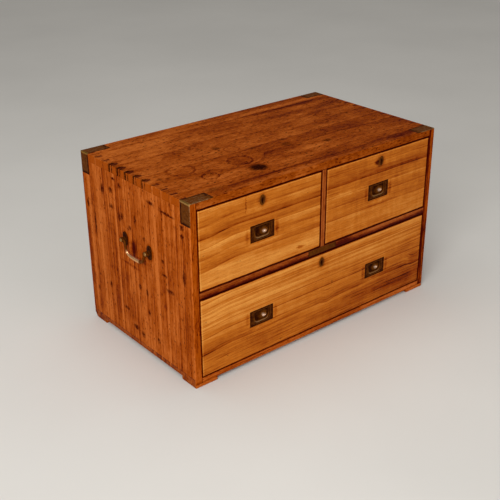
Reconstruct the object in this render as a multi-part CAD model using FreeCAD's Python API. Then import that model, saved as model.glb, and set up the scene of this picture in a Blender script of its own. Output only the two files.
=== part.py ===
"""Campaign chest of two short drawers over one long drawer, in millimetres.

The chest faces -Y, +X is its right-hand end and +Z is up. The origin lies under the middle of the chest, on the
surface that it stands on. Every node is one STEP file in parts.
"""
import FreeCAD
import Part
import math
import os

from FreeCAD import Vector

# Carcass
WIDTH = 920.0
DEPTH = 526.0
HEIGHT = 542.0
TOP_THICKNESS = 22.0
SIDE_THICKNESS = 22.0
BOTTOM_THICKNESS = 16.0
BACK_THICKNESS = 12.0
BACK_REBATE = 11.0
BACK_BOARD_COUNT = 3
BACK_BOARD_GAP = 0.6
ARRIS_RADIUS = 1.8
REAR_CORNER_RADIUS = 26.0

# Corner pads under the carcass
FOOT_HEIGHT = 11.0
FOOT_LENGTH = 74.0
FOOT_WIDTH = 66.0
FOOT_EDGE_RADIUS = 2.5

# Dovetails of the carcass: the tails are on the top and bottom boards, the pins on the sides
CARCASS_TAILS = 13
PIN_NARROW = 5.0
DOVETAIL_SLOPE = 0.125

# Middle rail, dust board and what stands on them
LOWER_OPENING = 240.5
RAIL_THICKNESS = 20.0
RAIL_DEPTH = 60.0
RAIL_TENON_LENGTH = 10.0
RAIL_TENON_THICKNESS = 10.0
RAIL_TENON_SHOULDER = 10.0
DUST_BOARD_THICKNESS = 10.0
DUST_BOARD_HOUSING = 6.0
KICKER_WIDTH = 30.0
UPRIGHT_THICKNESS = 18.0
UPRIGHT_DEPTH = 50.0
UPRIGHT_TENON_LENGTH = 8.0
UPRIGHT_TENON_THICKNESS = 9.0
UPRIGHT_TENON_SHOULDER = 10.0
GUIDE_HEIGHT = 25.0
STOP_WIDTH = 30.0
STOP_DEPTH = 15.0
STOP_HEIGHT = 5.0
STOP_INSET = 60.0
STOP_CLEARANCE = 0.3

# Drawers
FRONT_THICKNESS = 20.0
FRONT_SETBACK = 1.0
FRONT_EDGE_RADIUS = 1.4
DRAWER_SIDE_THICKNESS = 10.0
DRAWER_BACK_THICKNESS = 10.0
DRAWER_BOTTOM_THICKNESS = 7.0
DRAWER_BOTTOM_RAISE = 9.0
DRAWER_GROOVE = 5.0
DRAWER_TAILS = 5
DRAWER_PIN_NARROW = 3.0
FRONT_LAP = 6.0
SIDE_GAP = 1.5
FRONT_BOTTOM_GAP = 2.0
SHORT_TOP_GAP = 3.0
LONG_TOP_GAP = 5.0
SIDE_TOP_DROP = 1.0
RUNNING_GAP = 0.3
REAR_GAP = 10.0
MUNTIN_WIDTH = 50.0
MUNTIN_THICKNESS = 13.0
MUNTIN_UNDER = 2.0

# Locks, keyholes and escutcheons
KEY_DROP = 26.0
RIGHT_KEY_SHIFT = 7.0
LOCK_WIDTH = 56.0
LOCK_HEIGHT = 40.0
LOCK_DEPTH = 11.0
LOCK_LIP = 6.0
LOCK_PLATE = 1.6
BOLT_WIDTH = 24.0
BOLT_THICKNESS = 6.0
BOLT_HEIGHT = 15.0
BOLT_SINK = 0.5
BOLT_THROW = 10.0
BOLT_CLEARANCE = 0.3
BOLT_MORTISE_CLEARANCE = 1.0
KEY_PIN_RADIUS = 1.5
KEY_CHAMBER_RADIUS = 6.5
KEYHOLE_RADIUS = 2.6
KEYHOLE_SLOT_WIDTH = 2.6
KEYHOLE_SLOT_LENGTH = 8.5
ESCUTCHEON_WIDTH = 19.0
ESCUTCHEON_HEIGHT = 30.0
ESCUTCHEON_THICKNESS = 1.6

# Flush handles of the drawers
PLATE_WIDTH = 84.0
PLATE_HEIGHT = 50.0
PLATE_THICKNESS = 2.6
PLATE_CORNER_RADIUS = 1.5
PLATE_SCREW_EDGE = 4.7
PLATE_DROP = 3.0
LONG_PLATE_OFFSET = 227.0
RECESS_WIDTH = 60.0
RECESS_HEIGHT = 37.0
RECESS_DEPTH = 6.6
RECESS_LOWER_RADIUS = 17.0
RECESS_UPPER_RADIUS = 1.0
CUP_WALL = 2.2
BOWL_DEPTH = 13.0
BOWL_UPPER_RADIUS = 8.0
BOWL_FLOOR_RADIUS = 6.5
BOWL_FLOOR_FLAT = 0.5
BAIL_BAR = 6.0
BAIL_THICKNESS = 5.6
BAIL_GAP = 0.6
TRUNNION_RADIUS = 1.6
TRUNNION_LENGTH = 1.6
TRUNNION_FIT = 0.06

# Carrying handles of the two sides
GRIP_CENTRE_FROM_FRONT = 252.0
GRIP_PIVOT_HEIGHT = 340.0
POST_SPACING = 120.0
POST_STAND_OFF = 11.0
POST_BALL_RADIUS = 7.5
POST_STEM_RADIUS = 5.0
ROSE_WIDTH = 22.0
ROSE_HEIGHT = 42.0
ROSE_THICKNESS = 2.5
GRIP_PIN_RADIUS = 2.6
GRIP_PIN_FIT = 0.06
GRIP_PIN_PROUD = 1.5
GRIP_INSET = 14.0
GRIP_ELBOW_RADIUS = 5.5
GRIP_DROP = 38.0
GRIP_CORNER_RADIUS = 20.0
GRIP_SWELL_RADIUS = 5.3
GRIP_SWELL_LENGTH = 66.0
GRIP_SWELL_SINK = 0.26

# Corner straps and the strap on the middle rail
STRAP_WIDTH = 40.0
STRAP_TOP_LENGTH = 76.0
STRAP_SIDE_LENGTH = 64.0
STRAP_THICKNESS = 2.0
STRAP_SCREW_INSET = 8.0
RAIL_STRAP_LENGTH = 108.0
RAIL_STRAP_HEIGHT = 16.0
RAIL_STRAP_THICKNESS = 1.6
RAIL_STRAP_SCREW_INSET = 9.0
RAIL_STRAP_SCREWS = 4

# Screws and nails
STRAP_SCREW = {"head": 3.6, "shank": 1.8, "length": 14.0, "tip": 3.6}
RAIL_SCREW = {"head": 3.0, "shank": 1.5, "length": 12.0, "tip": 3.0}
PLATE_SCREW = {"head": 2.6, "shank": 1.3, "length": 10.0, "tip": 2.6}
ROSE_SCREW = {"head": 3.2, "shank": 1.6, "length": 15.0, "tip": 3.2}
SLOT_WIDTH = 0.8
SLOT_DEPTH = 0.7
NAIL_SHANK = 2.2
NAIL_HEAD = 4.5
NAIL_HEAD_THICKNESS = 1.0
NAIL_LENGTH = 30.0
NAIL_EDGE = 5.5
NAILS_PER_BOARD_END = 2

# Planes that the sizes above give
X_OUT = WIDTH / 2
X_IN = X_OUT - SIDE_THICKNESS
Y_FRONT = -DEPTH / 2
Y_REAR = DEPTH / 2
Y_BACK_IN = Y_REAR - BACK_THICKNESS
Z_FLOOR = FOOT_HEIGHT + BOTTOM_THICKNESS
Z_RAIL_UNDER = Z_FLOOR + LOWER_OPENING
Z_RAIL_TOP = Z_RAIL_UNDER + RAIL_THICKNESS
Z_CEILING = HEIGHT - TOP_THICKNESS
Y_RAIL_REAR = Y_FRONT + RAIL_DEPTH
Y_DRAWER_FACE = Y_FRONT + FRONT_SETBACK
Y_DRAWER_INSIDE = Y_DRAWER_FACE + FRONT_THICKNESS
Y_DRAWER_REAR = Y_BACK_IN - REAR_GAP
UPRIGHT_HALF = UPRIGHT_THICKNESS / 2
Y_BOLT = Y_DRAWER_INSIDE - LOCK_DEPTH / 2
Y_GRIP = Y_FRONT + GRIP_CENTRE_FROM_FRONT

ACROSS = Vector(1, 0, 0)
BACKWARD = Vector(0, 1, 0)
UPWARD = Vector(0, 0, 1)


def box(x0, x1, y0, y1, z0, z1):
    """Block between two values on each axis."""
    return Part.makeBox(x1 - x0, y1 - y0, z1 - z0, Vector(x0, y0, z0))


def prism(points, sweep):
    """Straight prism on a closed polygon."""
    return Part.Face(Part.makePolygon(points + [points[0]])).extrude(sweep)


def group(shapes):
    """Separate solids held together as one node."""
    solids = []
    for shape in shapes:
        solids.extend(shape.Solids)
    return Part.makeCompound(solids)


def one_solid(shape):
    """The single solid of a shape, with split faces joined."""
    return group([shape.removeSplitter()]).Solids[0]


def rounded_outline(width, height, lower, upper, y):
    """Outline in the plane y, centred on x and with its top edge at z 0: lower and upper corner radii differ."""
    half = width / 2
    turn = math.sqrt(0.5)
    edges = [
        Part.LineSegment(Vector(-half + upper, y, 0), Vector(half - upper, y, 0)).toShape(),
        Part.Arc(Vector(half - upper, y, 0), Vector(half - upper + upper * turn, y, -upper + upper * turn),
                 Vector(half, y, -upper)).toShape(),
        Part.LineSegment(Vector(half, y, -upper), Vector(half, y, -height + lower)).toShape(),
        Part.Arc(Vector(half, y, -height + lower),
                 Vector(half - lower + lower * turn, y, -height + lower - lower * turn),
                 Vector(half - lower, y, -height)).toShape(),
        Part.LineSegment(Vector(half - lower, y, -height), Vector(-half + lower, y, -height)).toShape(),
        Part.Arc(Vector(-half + lower, y, -height),
                 Vector(-half + lower - lower * turn, y, -height + lower - lower * turn),
                 Vector(-half, y, -height + lower)).toShape(),
        Part.LineSegment(Vector(-half, y, -height + lower), Vector(-half, y, -upper)).toShape(),
        Part.Arc(Vector(-half, y, -upper), Vector(-half + upper - upper * turn, y, -upper + upper * turn),
                 Vector(-half + upper, y, 0)).toShape(),
    ]
    return Part.Wire(edges)


def screw(at, inwards, size):
    """Countersunk wood screw with its head flush at a point, and the same screw without its slot for the hole."""
    head = size["head"]
    shank = size["shank"]
    length = size["length"]
    taper = length - size["tip"]
    outline = [Vector(0, 0, 0), Vector(head, 0, 0), Vector(shank, 0, head - shank), Vector(shank, 0, taper),
               Vector(0, 0, length)]
    plain = Part.Face(Part.makePolygon(outline + [outline[0]])).revolve(Vector(0, 0, 0), UPWARD, 360)
    slot = box(-head, head, -SLOT_WIDTH / 2, SLOT_WIDTH / 2, -SLOT_DEPTH, SLOT_DEPTH)
    slotted = plain.cut(slot)
    place = FreeCAD.Placement(at, FreeCAD.Rotation(UPWARD, inwards))
    plain.Placement = place
    slotted.Placement = place
    return slotted, plain


def nail(x, z):
    """Cut nail driven forwards through the back boards, with a flat square head let in flush."""
    head = NAIL_HEAD / 2
    shank = NAIL_SHANK / 2
    return one_solid(box(x - head, x + head, Y_REAR - NAIL_HEAD_THICKNESS, Y_REAR, z - head, z + head).fuse(
        box(x - shank, x + shank, Y_REAR - NAIL_LENGTH, Y_REAR, z - shank, z + shank)))


# Carcass

def carcass_envelope():
    """The whole carcass as one block with eased arrises and a rounded lower rear corner, which trims every board."""
    block = box(-X_OUT, X_OUT, Y_FRONT, Y_REAR, FOOT_HEIGHT, HEIGHT)
    return block.makeFillet(ARRIS_RADIUS, block.Edges).cut(rear_corner_waste())


def rear_corner_waste():
    """What the quarter round along the lower rear corner takes away."""
    radius = REAR_CORNER_RADIUS
    corner = box(-X_OUT, X_OUT, Y_REAR - radius, Y_REAR, 0, radius)
    core = Part.makeCylinder(radius, WIDTH, Vector(-X_OUT, Y_REAR - radius, radius), ACROSS)
    return corner.cut(core)


def carcass_pins(side, y_rear, z0, z1):
    """Dovetail pins of one side board between two heights: narrow at the outer face, wide at the inner one."""
    pitch = (y_rear - Y_FRONT) / CARCASS_TAILS
    outer = PIN_NARROW / 2
    inner = outer + SIDE_THICKNESS * DOVETAIL_SLOPE
    pins = []
    for place in range(CARCASS_TAILS + 1):
        y = Y_FRONT + place * pitch
        low = 0.0 if place == 0 else 1.0
        high = 0.0 if place == CARCASS_TAILS else 1.0
        points = [
            Vector(side * X_OUT, y - low * outer, z0),
            Vector(side * X_OUT, y + high * outer, z0),
            Vector(side * X_IN, y + high * inner, z0),
            Vector(side * X_IN, y - low * inner, z0),
        ]
        pins.append(prism(points, Vector(0, 0, z1 - z0)))
    return pins


def tailed_board(y_rear, z0, z1):
    """Top or bottom board over the full width, with its tails cut between the pins of both sides."""
    pins = carcass_pins(-1, y_rear, z0, z1) + carcass_pins(1, y_rear, z0, z1)
    return box(-X_OUT, X_OUT, Y_FRONT, y_rear, z0, z1).cut(Part.makeCompound(pins))


def middle_rail():
    """Rail between the upper and lower drawers, with a tenon at each end."""
    rail = box(-X_IN, X_IN, Y_FRONT, Y_RAIL_REAR, Z_RAIL_UNDER, Z_RAIL_TOP)
    reach = X_IN + RAIL_TENON_LENGTH
    cheek = (RAIL_THICKNESS - RAIL_TENON_THICKNESS) / 2
    tenon = box(-reach, reach, Y_FRONT + RAIL_TENON_SHOULDER, Y_RAIL_REAR - RAIL_TENON_SHOULDER,
                Z_RAIL_UNDER + cheek, Z_RAIL_TOP - cheek)
    return rail.fuse(tenon)


def dust_board():
    """Thin board behind the middle rail, housed in both sides."""
    reach = X_IN + DUST_BOARD_HOUSING
    return box(-reach, reach, Y_RAIL_REAR, Y_BACK_IN, Z_RAIL_TOP - DUST_BOARD_THICKNESS, Z_RAIL_TOP)


def kickers():
    """Strip under each end of the dust board, level with the underside of the rail."""
    top = Z_RAIL_TOP - DUST_BOARD_THICKNESS
    return group([
        box(-X_IN, -X_IN + KICKER_WIDTH, Y_RAIL_REAR, Y_BACK_IN, Z_RAIL_UNDER, top),
        box(X_IN - KICKER_WIDTH, X_IN, Y_RAIL_REAR, Y_BACK_IN, Z_RAIL_UNDER, top),
    ])


def centre_upright():
    """Upright between the short drawers, tenoned into the rail and the top board."""
    tenon = UPRIGHT_TENON_THICKNESS / 2
    post = box(-UPRIGHT_HALF, UPRIGHT_HALF, Y_FRONT, Y_FRONT + UPRIGHT_DEPTH, Z_RAIL_TOP, Z_CEILING)
    core = box(-tenon, tenon, Y_FRONT + UPRIGHT_TENON_SHOULDER, Y_FRONT + UPRIGHT_DEPTH - UPRIGHT_TENON_SHOULDER,
               Z_RAIL_TOP - UPRIGHT_TENON_LENGTH, Z_CEILING + UPRIGHT_TENON_LENGTH)
    return post.fuse(core)


def centre_guide():
    """Strip on the dust board that keeps the short drawers apart."""
    return box(-UPRIGHT_HALF, UPRIGHT_HALF, Y_FRONT + UPRIGHT_DEPTH, Y_BACK_IN, Z_RAIL_TOP,
               Z_RAIL_TOP + GUIDE_HEIGHT)


def back_boards():
    """Horizontal boards that close the back, in the rebates of the sides, with a shrinkage gap between them."""
    reach = X_IN + BACK_REBATE
    pitch = (Z_CEILING - FOOT_HEIGHT + BACK_BOARD_GAP) / BACK_BOARD_COUNT
    boards = []
    for place in range(BACK_BOARD_COUNT):
        z = FOOT_HEIGHT + place * pitch
        boards.append(box(-reach, reach, Y_BACK_IN, Y_REAR, z, z + pitch - BACK_BOARD_GAP))
    return boards


def back_board_nails():
    """Nails at both ends of every back board, into the rebates."""
    pitch = (Z_CEILING - FOOT_HEIGHT + BACK_BOARD_GAP) / BACK_BOARD_COUNT
    nails = []
    for side in (-1, 1):
        for board in range(BACK_BOARD_COUNT):
            for place in range(NAILS_PER_BOARD_END):
                share = (place + 0.5) / NAILS_PER_BOARD_END
                z = FOOT_HEIGHT + (board + share) * pitch
                nails.append(nail(side * (X_IN + NAIL_EDGE), z))
    return nails


def drawer_stops():
    """Blocks behind the drawer fronts: two for each drawer, glued on the rail and on the bottom board."""
    y = Y_DRAWER_INSIDE + STOP_CLEARANCE
    stops = []
    for side in (-1, 1):
        for x, z in ((X_IN - STOP_INSET, Z_FLOOR), (X_IN - STOP_INSET, Z_RAIL_TOP),
                     (UPRIGHT_HALF + STOP_INSET, Z_RAIL_TOP)):
            stops.append(box(side * x - STOP_WIDTH / 2, side * x + STOP_WIDTH / 2, y, y + STOP_DEPTH,
                             z, z + STOP_HEIGHT))
    return group(stops)


def foot_pads():
    """Low pad under each corner, flush with the faces of the carcass. The rear ones are rounded with the corner."""
    pads = []
    for x in (-X_OUT, X_OUT - FOOT_LENGTH):
        for y in (Y_FRONT, Y_REAR - FOOT_WIDTH):
            pad = box(x, x + FOOT_LENGTH, y, y + FOOT_WIDTH, 0, FOOT_HEIGHT)
            eased = [edge for edge in pad.Edges if edge.BoundBox.ZMin < FOOT_HEIGHT / 2]
            pads.append(pad.makeFillet(FOOT_EDGE_RADIUS, eased).cut(rear_corner_waste()))
    return group(pads)


# Brass straps

def corner_strap(side, end):
    """Right-angled strap over one upper corner, let in flush with the top, the side and the front or rear face."""
    x0, x1 = sorted((side * X_OUT, side * (X_OUT - STRAP_TOP_LENGTH)))
    xs0, xs1 = sorted((side * X_OUT, side * (X_OUT - STRAP_THICKNESS)))
    y_edge = end * DEPTH / 2
    y0, y1 = sorted((y_edge, y_edge - end * STRAP_WIDTH))
    top_leg = box(x0, x1, y0, y1, HEIGHT - STRAP_THICKNESS, HEIGHT)
    side_leg = box(xs0, xs1, y0, y1, HEIGHT - STRAP_SIDE_LENGTH, HEIGHT)
    return top_leg.fuse(side_leg)


def corner_strap_screws(side, end):
    """Three screws in each leg: one near the bend and two near the far end."""
    y_edge = end * DEPTH / 2
    middle = y_edge - end * STRAP_WIDTH / 2
    near = y_edge - end * STRAP_SCREW_INSET
    far = y_edge - end * (STRAP_WIDTH - STRAP_SCREW_INSET)
    bend = SIDE_THICKNESS / 2
    screws = []
    for y, x in ((middle, X_OUT - bend), (near, X_OUT - STRAP_TOP_LENGTH + STRAP_SCREW_INSET),
                 (far, X_OUT - STRAP_TOP_LENGTH + STRAP_SCREW_INSET)):
        screws.append(screw(Vector(side * x, y, HEIGHT), Vector(0, 0, -1), STRAP_SCREW))
    z_far = HEIGHT - STRAP_SIDE_LENGTH + STRAP_SCREW_INSET
    for y, z in ((middle, HEIGHT - TOP_THICKNESS - STRAP_SCREW_INSET), (near, z_far), (far, z_far)):
        screws.append(screw(Vector(side * X_OUT, y, z), Vector(-side, 0, 0), STRAP_SCREW))
    return screws


def rail_strap():
    """Flat strap let into the face of the middle rail under the upright."""
    half = RAIL_STRAP_LENGTH / 2
    z = (Z_RAIL_UNDER + Z_RAIL_TOP) / 2
    return box(-half, half, Y_FRONT, Y_FRONT + RAIL_STRAP_THICKNESS,
               z - RAIL_STRAP_HEIGHT / 2, z + RAIL_STRAP_HEIGHT / 2)


def rail_strap_screws():
    """Screws in a row along the rail strap."""
    z = (Z_RAIL_UNDER + Z_RAIL_TOP) / 2
    reach = RAIL_STRAP_LENGTH / 2 - RAIL_STRAP_SCREW_INSET
    screws = []
    for place in range(RAIL_STRAP_SCREWS):
        x = -reach + 2 * reach * place / (RAIL_STRAP_SCREWS - 1)
        screws.append(screw(Vector(x, Y_FRONT, z), BACKWARD, RAIL_SCREW))
    return screws


# Carrying handles

def handle_post(side, end):
    """Oval rose with a ball on a short stem, bored from front to back for the pin of the bail."""
    y = Y_GRIP + end * POST_SPACING / 2
    z = GRIP_PIVOT_HEIGHT
    straight = (ROSE_HEIGHT - ROSE_WIDTH) / 2
    radius = ROSE_WIDTH / 2
    outward = Vector(side, 0, 0)
    base = side * X_OUT
    x0, x1 = sorted((base, base + side * ROSE_THICKNESS))
    rose = box(x0, x1, y - radius, y + radius, z - straight, z + straight)
    for z_end in (z - straight, z + straight):
        rose = rose.fuse(Part.makeCylinder(radius, ROSE_THICKNESS, Vector(base, y, z_end), outward))
    stem = Part.makeCylinder(POST_STEM_RADIUS, POST_STAND_OFF, Vector(base, y, z), outward)
    ball = Part.makeSphere(POST_BALL_RADIUS, Vector(base + side * POST_STAND_OFF, y, z))
    inside = sorted((base - side * POST_BALL_RADIUS, base))
    trim = box(inside[0], inside[1], y - radius, y + radius, z - radius, z + radius)
    bore_length = 2 * (POST_BALL_RADIUS + GRIP_PIN_PROUD)
    bore = Part.makeCylinder(GRIP_PIN_RADIUS + GRIP_PIN_FIT, bore_length,
                             Vector(base + side * POST_STAND_OFF, y - bore_length / 2, z), BACKWARD)
    return one_solid(rose.fuse(stem).fuse(ball).cut(trim).cut(bore))


def handle_post_screws(side, end):
    """Screw above and below the ball of one post."""
    y = Y_GRIP + end * POST_SPACING / 2
    rise = (ROSE_HEIGHT - ROSE_WIDTH) / 2 + ROSE_SCREW["head"]
    face = side * (X_OUT + ROSE_THICKNESS)
    screws = []
    for z in (GRIP_PIVOT_HEIGHT - rise, GRIP_PIVOT_HEIGHT + rise):
        screws.append(screw(Vector(face, y, z), Vector(-side, 0, 0), ROSE_SCREW))
    return screws


def side_bail(side):
    """Swan-neck bail hanging from its two pins, with a swollen grip."""
    x = side * (X_OUT + POST_STAND_OFF)
    turn = math.sqrt(0.5)
    pin_end = POST_SPACING / 2 + POST_BALL_RADIUS + GRIP_PIN_PROUD
    arm = POST_SPACING / 2 - GRIP_INSET
    elbow = GRIP_ELBOW_RADIUS
    corner = GRIP_CORNER_RADIUS
    drop = GRIP_DROP

    def at(along, down):
        return Vector(x, Y_GRIP + along, GRIP_PIVOT_HEIGHT - down)

    def half(sign):
        return [
            (at(sign * pin_end, 0), at(sign * (arm + elbow), 0), None),
            (at(sign * (arm + elbow), 0), at(sign * arm, elbow),
             at(sign * (arm + elbow - elbow * turn), elbow - elbow * turn)),
            (at(sign * arm, elbow), at(sign * arm, drop - corner), None),
            (at(sign * arm, drop - corner), at(sign * (arm - corner), drop),
             at(sign * (arm - corner + corner * turn), drop - corner + corner * turn)),
        ]

    edges = []
    for start, end, through in half(1):
        if through is None:
            edges.append(Part.LineSegment(start, end).toShape())
        else:
            edges.append(Part.Arc(start, through, end).toShape())
    edges.append(Part.LineSegment(at(arm - corner, drop), at(corner - arm, drop)).toShape())
    for start, end, through in reversed(half(-1)):
        if through is None:
            edges.append(Part.LineSegment(end, start).toShape())
        else:
            edges.append(Part.Arc(end, through, start).toShape())
    path = Part.Wire(edges)
    section = Part.Wire(Part.makeCircle(GRIP_PIN_RADIUS, at(pin_end, 0), BACKWARD))
    rod = path.makePipeShell([section], True, False)
    reach = GRIP_SWELL_LENGTH / 2
    start = at(-reach, drop - GRIP_PIN_RADIUS + GRIP_SWELL_SINK)
    end = at(reach, drop - GRIP_PIN_RADIUS + GRIP_SWELL_SINK)
    swell_outline = Part.Wire([
        Part.Arc(start, at(0, drop - GRIP_SWELL_RADIUS), end).toShape(),
        Part.LineSegment(end, at(reach, drop)).toShape(),
        Part.LineSegment(at(reach, drop), at(-reach, drop)).toShape(),
        Part.LineSegment(at(-reach, drop), start).toShape(),
    ])
    swell = Part.Face(swell_outline).revolve(at(0, drop), BACKWARD, 360)
    return one_solid(rod.fuse(swell))


# Flush handles of the drawers

def recess_block(y0, depth, grow):
    """The outline of the recess for the bail, swept backwards from y0 and widened all round by grow."""
    outline = rounded_outline(RECESS_WIDTH + 2 * grow, RECESS_HEIGHT + 2 * grow, RECESS_LOWER_RADIUS + grow,
                              RECESS_UPPER_RADIUS + grow, y0)
    block = Part.Face(outline).extrude(Vector(0, depth, 0))
    block.translate(Vector(0, 0, RECESS_HEIGHT / 2 + grow))
    return block


def bowl_block():
    """Finger bowl inside the ledge that the bail rests on, with a rounded floor."""
    lower = RECESS_LOWER_RADIUS - BAIL_BAR / 2
    outline = rounded_outline(RECESS_WIDTH - 2 * BAIL_BAR, RECESS_HEIGHT - BAIL_BAR, lower, BOWL_UPPER_RADIUS,
                              Y_DRAWER_FACE)
    block = Part.Face(outline).extrude(Vector(0, BOWL_DEPTH, 0))
    block.translate(Vector(0, 0, RECESS_HEIGHT / 2))
    floor = Y_DRAWER_FACE + BOWL_DEPTH
    rim = [edge for edge in block.Edges if edge.BoundBox.YMin > floor - BOWL_DEPTH / 2]
    rounding = min(BOWL_FLOOR_RADIUS, BOWL_UPPER_RADIUS - BOWL_FLOOR_FLAT, BOWL_DEPTH - BOWL_FLOOR_FLAT)
    return block.makeFillet(rounding, rim)


def bail_axis():
    """Height of the pivot of a bail above the middle of its plate, and its depth behind the drawer face."""
    return RECESS_HEIGHT / 2 - BAIL_GAP - BAIL_THICKNESS / 2, Y_DRAWER_FACE + RECESS_DEPTH / 2


def plate_outside():
    """Outer shape of plate and cup, which is also the recess in the drawer front."""
    outline = rounded_outline(PLATE_WIDTH, PLATE_HEIGHT, PLATE_CORNER_RADIUS, PLATE_CORNER_RADIUS, Y_DRAWER_FACE)
    plate = Part.Face(outline).extrude(Vector(0, PLATE_THICKNESS, 0))
    plate.translate(Vector(0, 0, PLATE_HEIGHT / 2))
    cup = recess_block(Y_DRAWER_FACE, BOWL_DEPTH + CUP_WALL, CUP_WALL)
    return plate.fuse(cup)


def handle_plate():
    """Flush plate with the recess for the bail, the finger bowl and the bores for the trunnions."""
    z_axis, y_axis = bail_axis()
    plate = plate_outside().cut(recess_block(Y_DRAWER_FACE, RECESS_DEPTH, 0)).cut(bowl_block())
    bore = RECESS_WIDTH / 2 + TRUNNION_LENGTH
    return plate.cut(Part.makeCylinder(TRUNNION_RADIUS + TRUNNION_FIT, 2 * bore, Vector(-bore, y_axis, z_axis), ACROSS))


def flush_bail():
    """Stirrup of flat bar with an eye and a trunnion at each end, lying in the recess."""
    z_axis, y_axis = bail_axis()
    ring_width = BAIL_GAP + BAIL_BAR
    y0 = y_axis - BAIL_THICKNESS / 2
    outer = recess_block(y0, BAIL_THICKNESS, -BAIL_GAP)
    inner = rounded_outline(RECESS_WIDTH - 2 * ring_width, 2 * RECESS_HEIGHT,
                            RECESS_LOWER_RADIUS - ring_width / 2, RECESS_UPPER_RADIUS, y0)
    hollow = Part.Face(inner).extrude(Vector(0, BAIL_THICKNESS, 0))
    hollow.translate(Vector(0, 0, -RECESS_HEIGHT / 2 + ring_width + 2 * RECESS_HEIGHT))
    above = box(-RECESS_WIDTH, RECESS_WIDTH, y0, y0 + BAIL_THICKNESS, z_axis, RECESS_HEIGHT)
    stirrup = outer.cut(hollow).cut(above)
    arm = RECESS_WIDTH / 2 - ring_width
    edge = RECESS_WIDTH / 2 - BAIL_GAP
    for side in (-1, 1):
        stirrup = stirrup.fuse(Part.makeCylinder(BAIL_THICKNESS / 2, BAIL_BAR, Vector(side * arm, y_axis, z_axis),
                                                 Vector(side, 0, 0)))
        stirrup = stirrup.fuse(Part.makeCylinder(TRUNNION_RADIUS, BAIL_GAP + TRUNNION_LENGTH,
                                                 Vector(side * edge, y_axis, z_axis), Vector(side, 0, 0)))
    return one_solid(stirrup)


def handle_screws(x, z):
    """Screw in each corner of a flush plate, half-way between the cup and the end of the plate."""
    dx = (PLATE_WIDTH / 2 + RECESS_WIDTH / 2 + CUP_WALL) / 2
    dz = PLATE_HEIGHT / 2 - PLATE_SCREW_EDGE
    screws = []
    for side in (-1, 1):
        for rise in (-dz, dz):
            screws.append(screw(Vector(x + side * dx, Y_DRAWER_FACE, z + rise), BACKWARD, PLATE_SCREW))
    return screws


# Locks

def keyhole(x, z):
    """Keyhole through the drawer front up to the lock: a round hole with a slot below it."""
    depth = FRONT_THICKNESS - LOCK_DEPTH
    hole = Part.makeCylinder(KEYHOLE_RADIUS, depth, Vector(x, Y_DRAWER_FACE, z), BACKWARD)
    slot = box(x - KEYHOLE_SLOT_WIDTH / 2, x + KEYHOLE_SLOT_WIDTH / 2, Y_DRAWER_FACE, Y_DRAWER_FACE + depth,
               z - KEYHOLE_SLOT_LENGTH, z)
    return hole.fuse(slot)


def escutcheon(x, z):
    """Oval plate let into the drawer front around the keyhole."""
    ellipse = Part.Ellipse(Vector(x, Y_DRAWER_FACE, z), ESCUTCHEON_HEIGHT / 2, ESCUTCHEON_WIDTH / 2)
    ellipse.Axis = BACKWARD
    ellipse.XAxis = UPWARD
    return Part.Face(Part.Wire(ellipse.toShape())).extrude(Vector(0, ESCUTCHEON_THICKNESS, 0))


def lock_outside(x, z_top):
    """Outer shape of a lock: case, selvedge on the top edge of the drawer front and cap plate on its inside."""
    half = LOCK_WIDTH / 2
    y0 = Y_DRAWER_INSIDE - LOCK_DEPTH
    case = box(x - half, x + half, y0, Y_DRAWER_INSIDE, z_top - LOCK_HEIGHT, z_top)
    selvedge = box(x - half - LOCK_LIP, x + half + LOCK_LIP, y0, Y_DRAWER_INSIDE, z_top - LOCK_PLATE, z_top)
    cap = box(x - half - LOCK_LIP, x + half + LOCK_LIP, Y_DRAWER_INSIDE - LOCK_PLATE, Y_DRAWER_INSIDE,
              z_top - LOCK_HEIGHT - LOCK_LIP, z_top)
    return case.fuse(selvedge).fuse(cap)


def bolt_block(x, z0, z1, clearance):
    """Block around the bolt of a lock between two heights."""
    half = BOLT_WIDTH / 2 + clearance
    deep = BOLT_THICKNESS / 2 + clearance
    return box(x - half, x + half, Y_BOLT - deep, Y_BOLT + deep, z0, z1)


def lock_case(x, z_top):
    """Lock with a channel for its bolt and a chamber for the key around its pin."""
    z_key = z_top - KEY_DROP
    channel = bolt_block(x, z_top - BOLT_SINK - BOLT_HEIGHT - BOLT_CLEARANCE, z_top, BOLT_CLEARANCE)
    y0 = Y_DRAWER_INSIDE - LOCK_DEPTH
    depth = LOCK_DEPTH - 2 * LOCK_PLATE
    chamber = Part.makeCylinder(KEY_CHAMBER_RADIUS, depth, Vector(x, y0, z_key), BACKWARD)
    pin = Part.makeCylinder(KEY_PIN_RADIUS, depth, Vector(x, y0, z_key), BACKWARD)
    return one_solid(lock_outside(x, z_top).cut(channel).cut(chamber.cut(pin)))


def lock_bolt(x, z_top):
    """Bolt drawn back just below the top edge of the drawer front."""
    z1 = z_top - BOLT_SINK
    return bolt_block(x, z1 - BOLT_HEIGHT, z1, 0)


def bolt_mortise(drawer):
    """Mortise above a lock for the end of its bolt."""
    reach = drawer.z_top - BOLT_SINK + BOLT_THROW + BOLT_MORTISE_CLEARANCE
    return bolt_block(drawer.key_x, drawer.z_ceiling, reach, BOLT_MORTISE_CLEARANCE)


# Drawers

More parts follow.
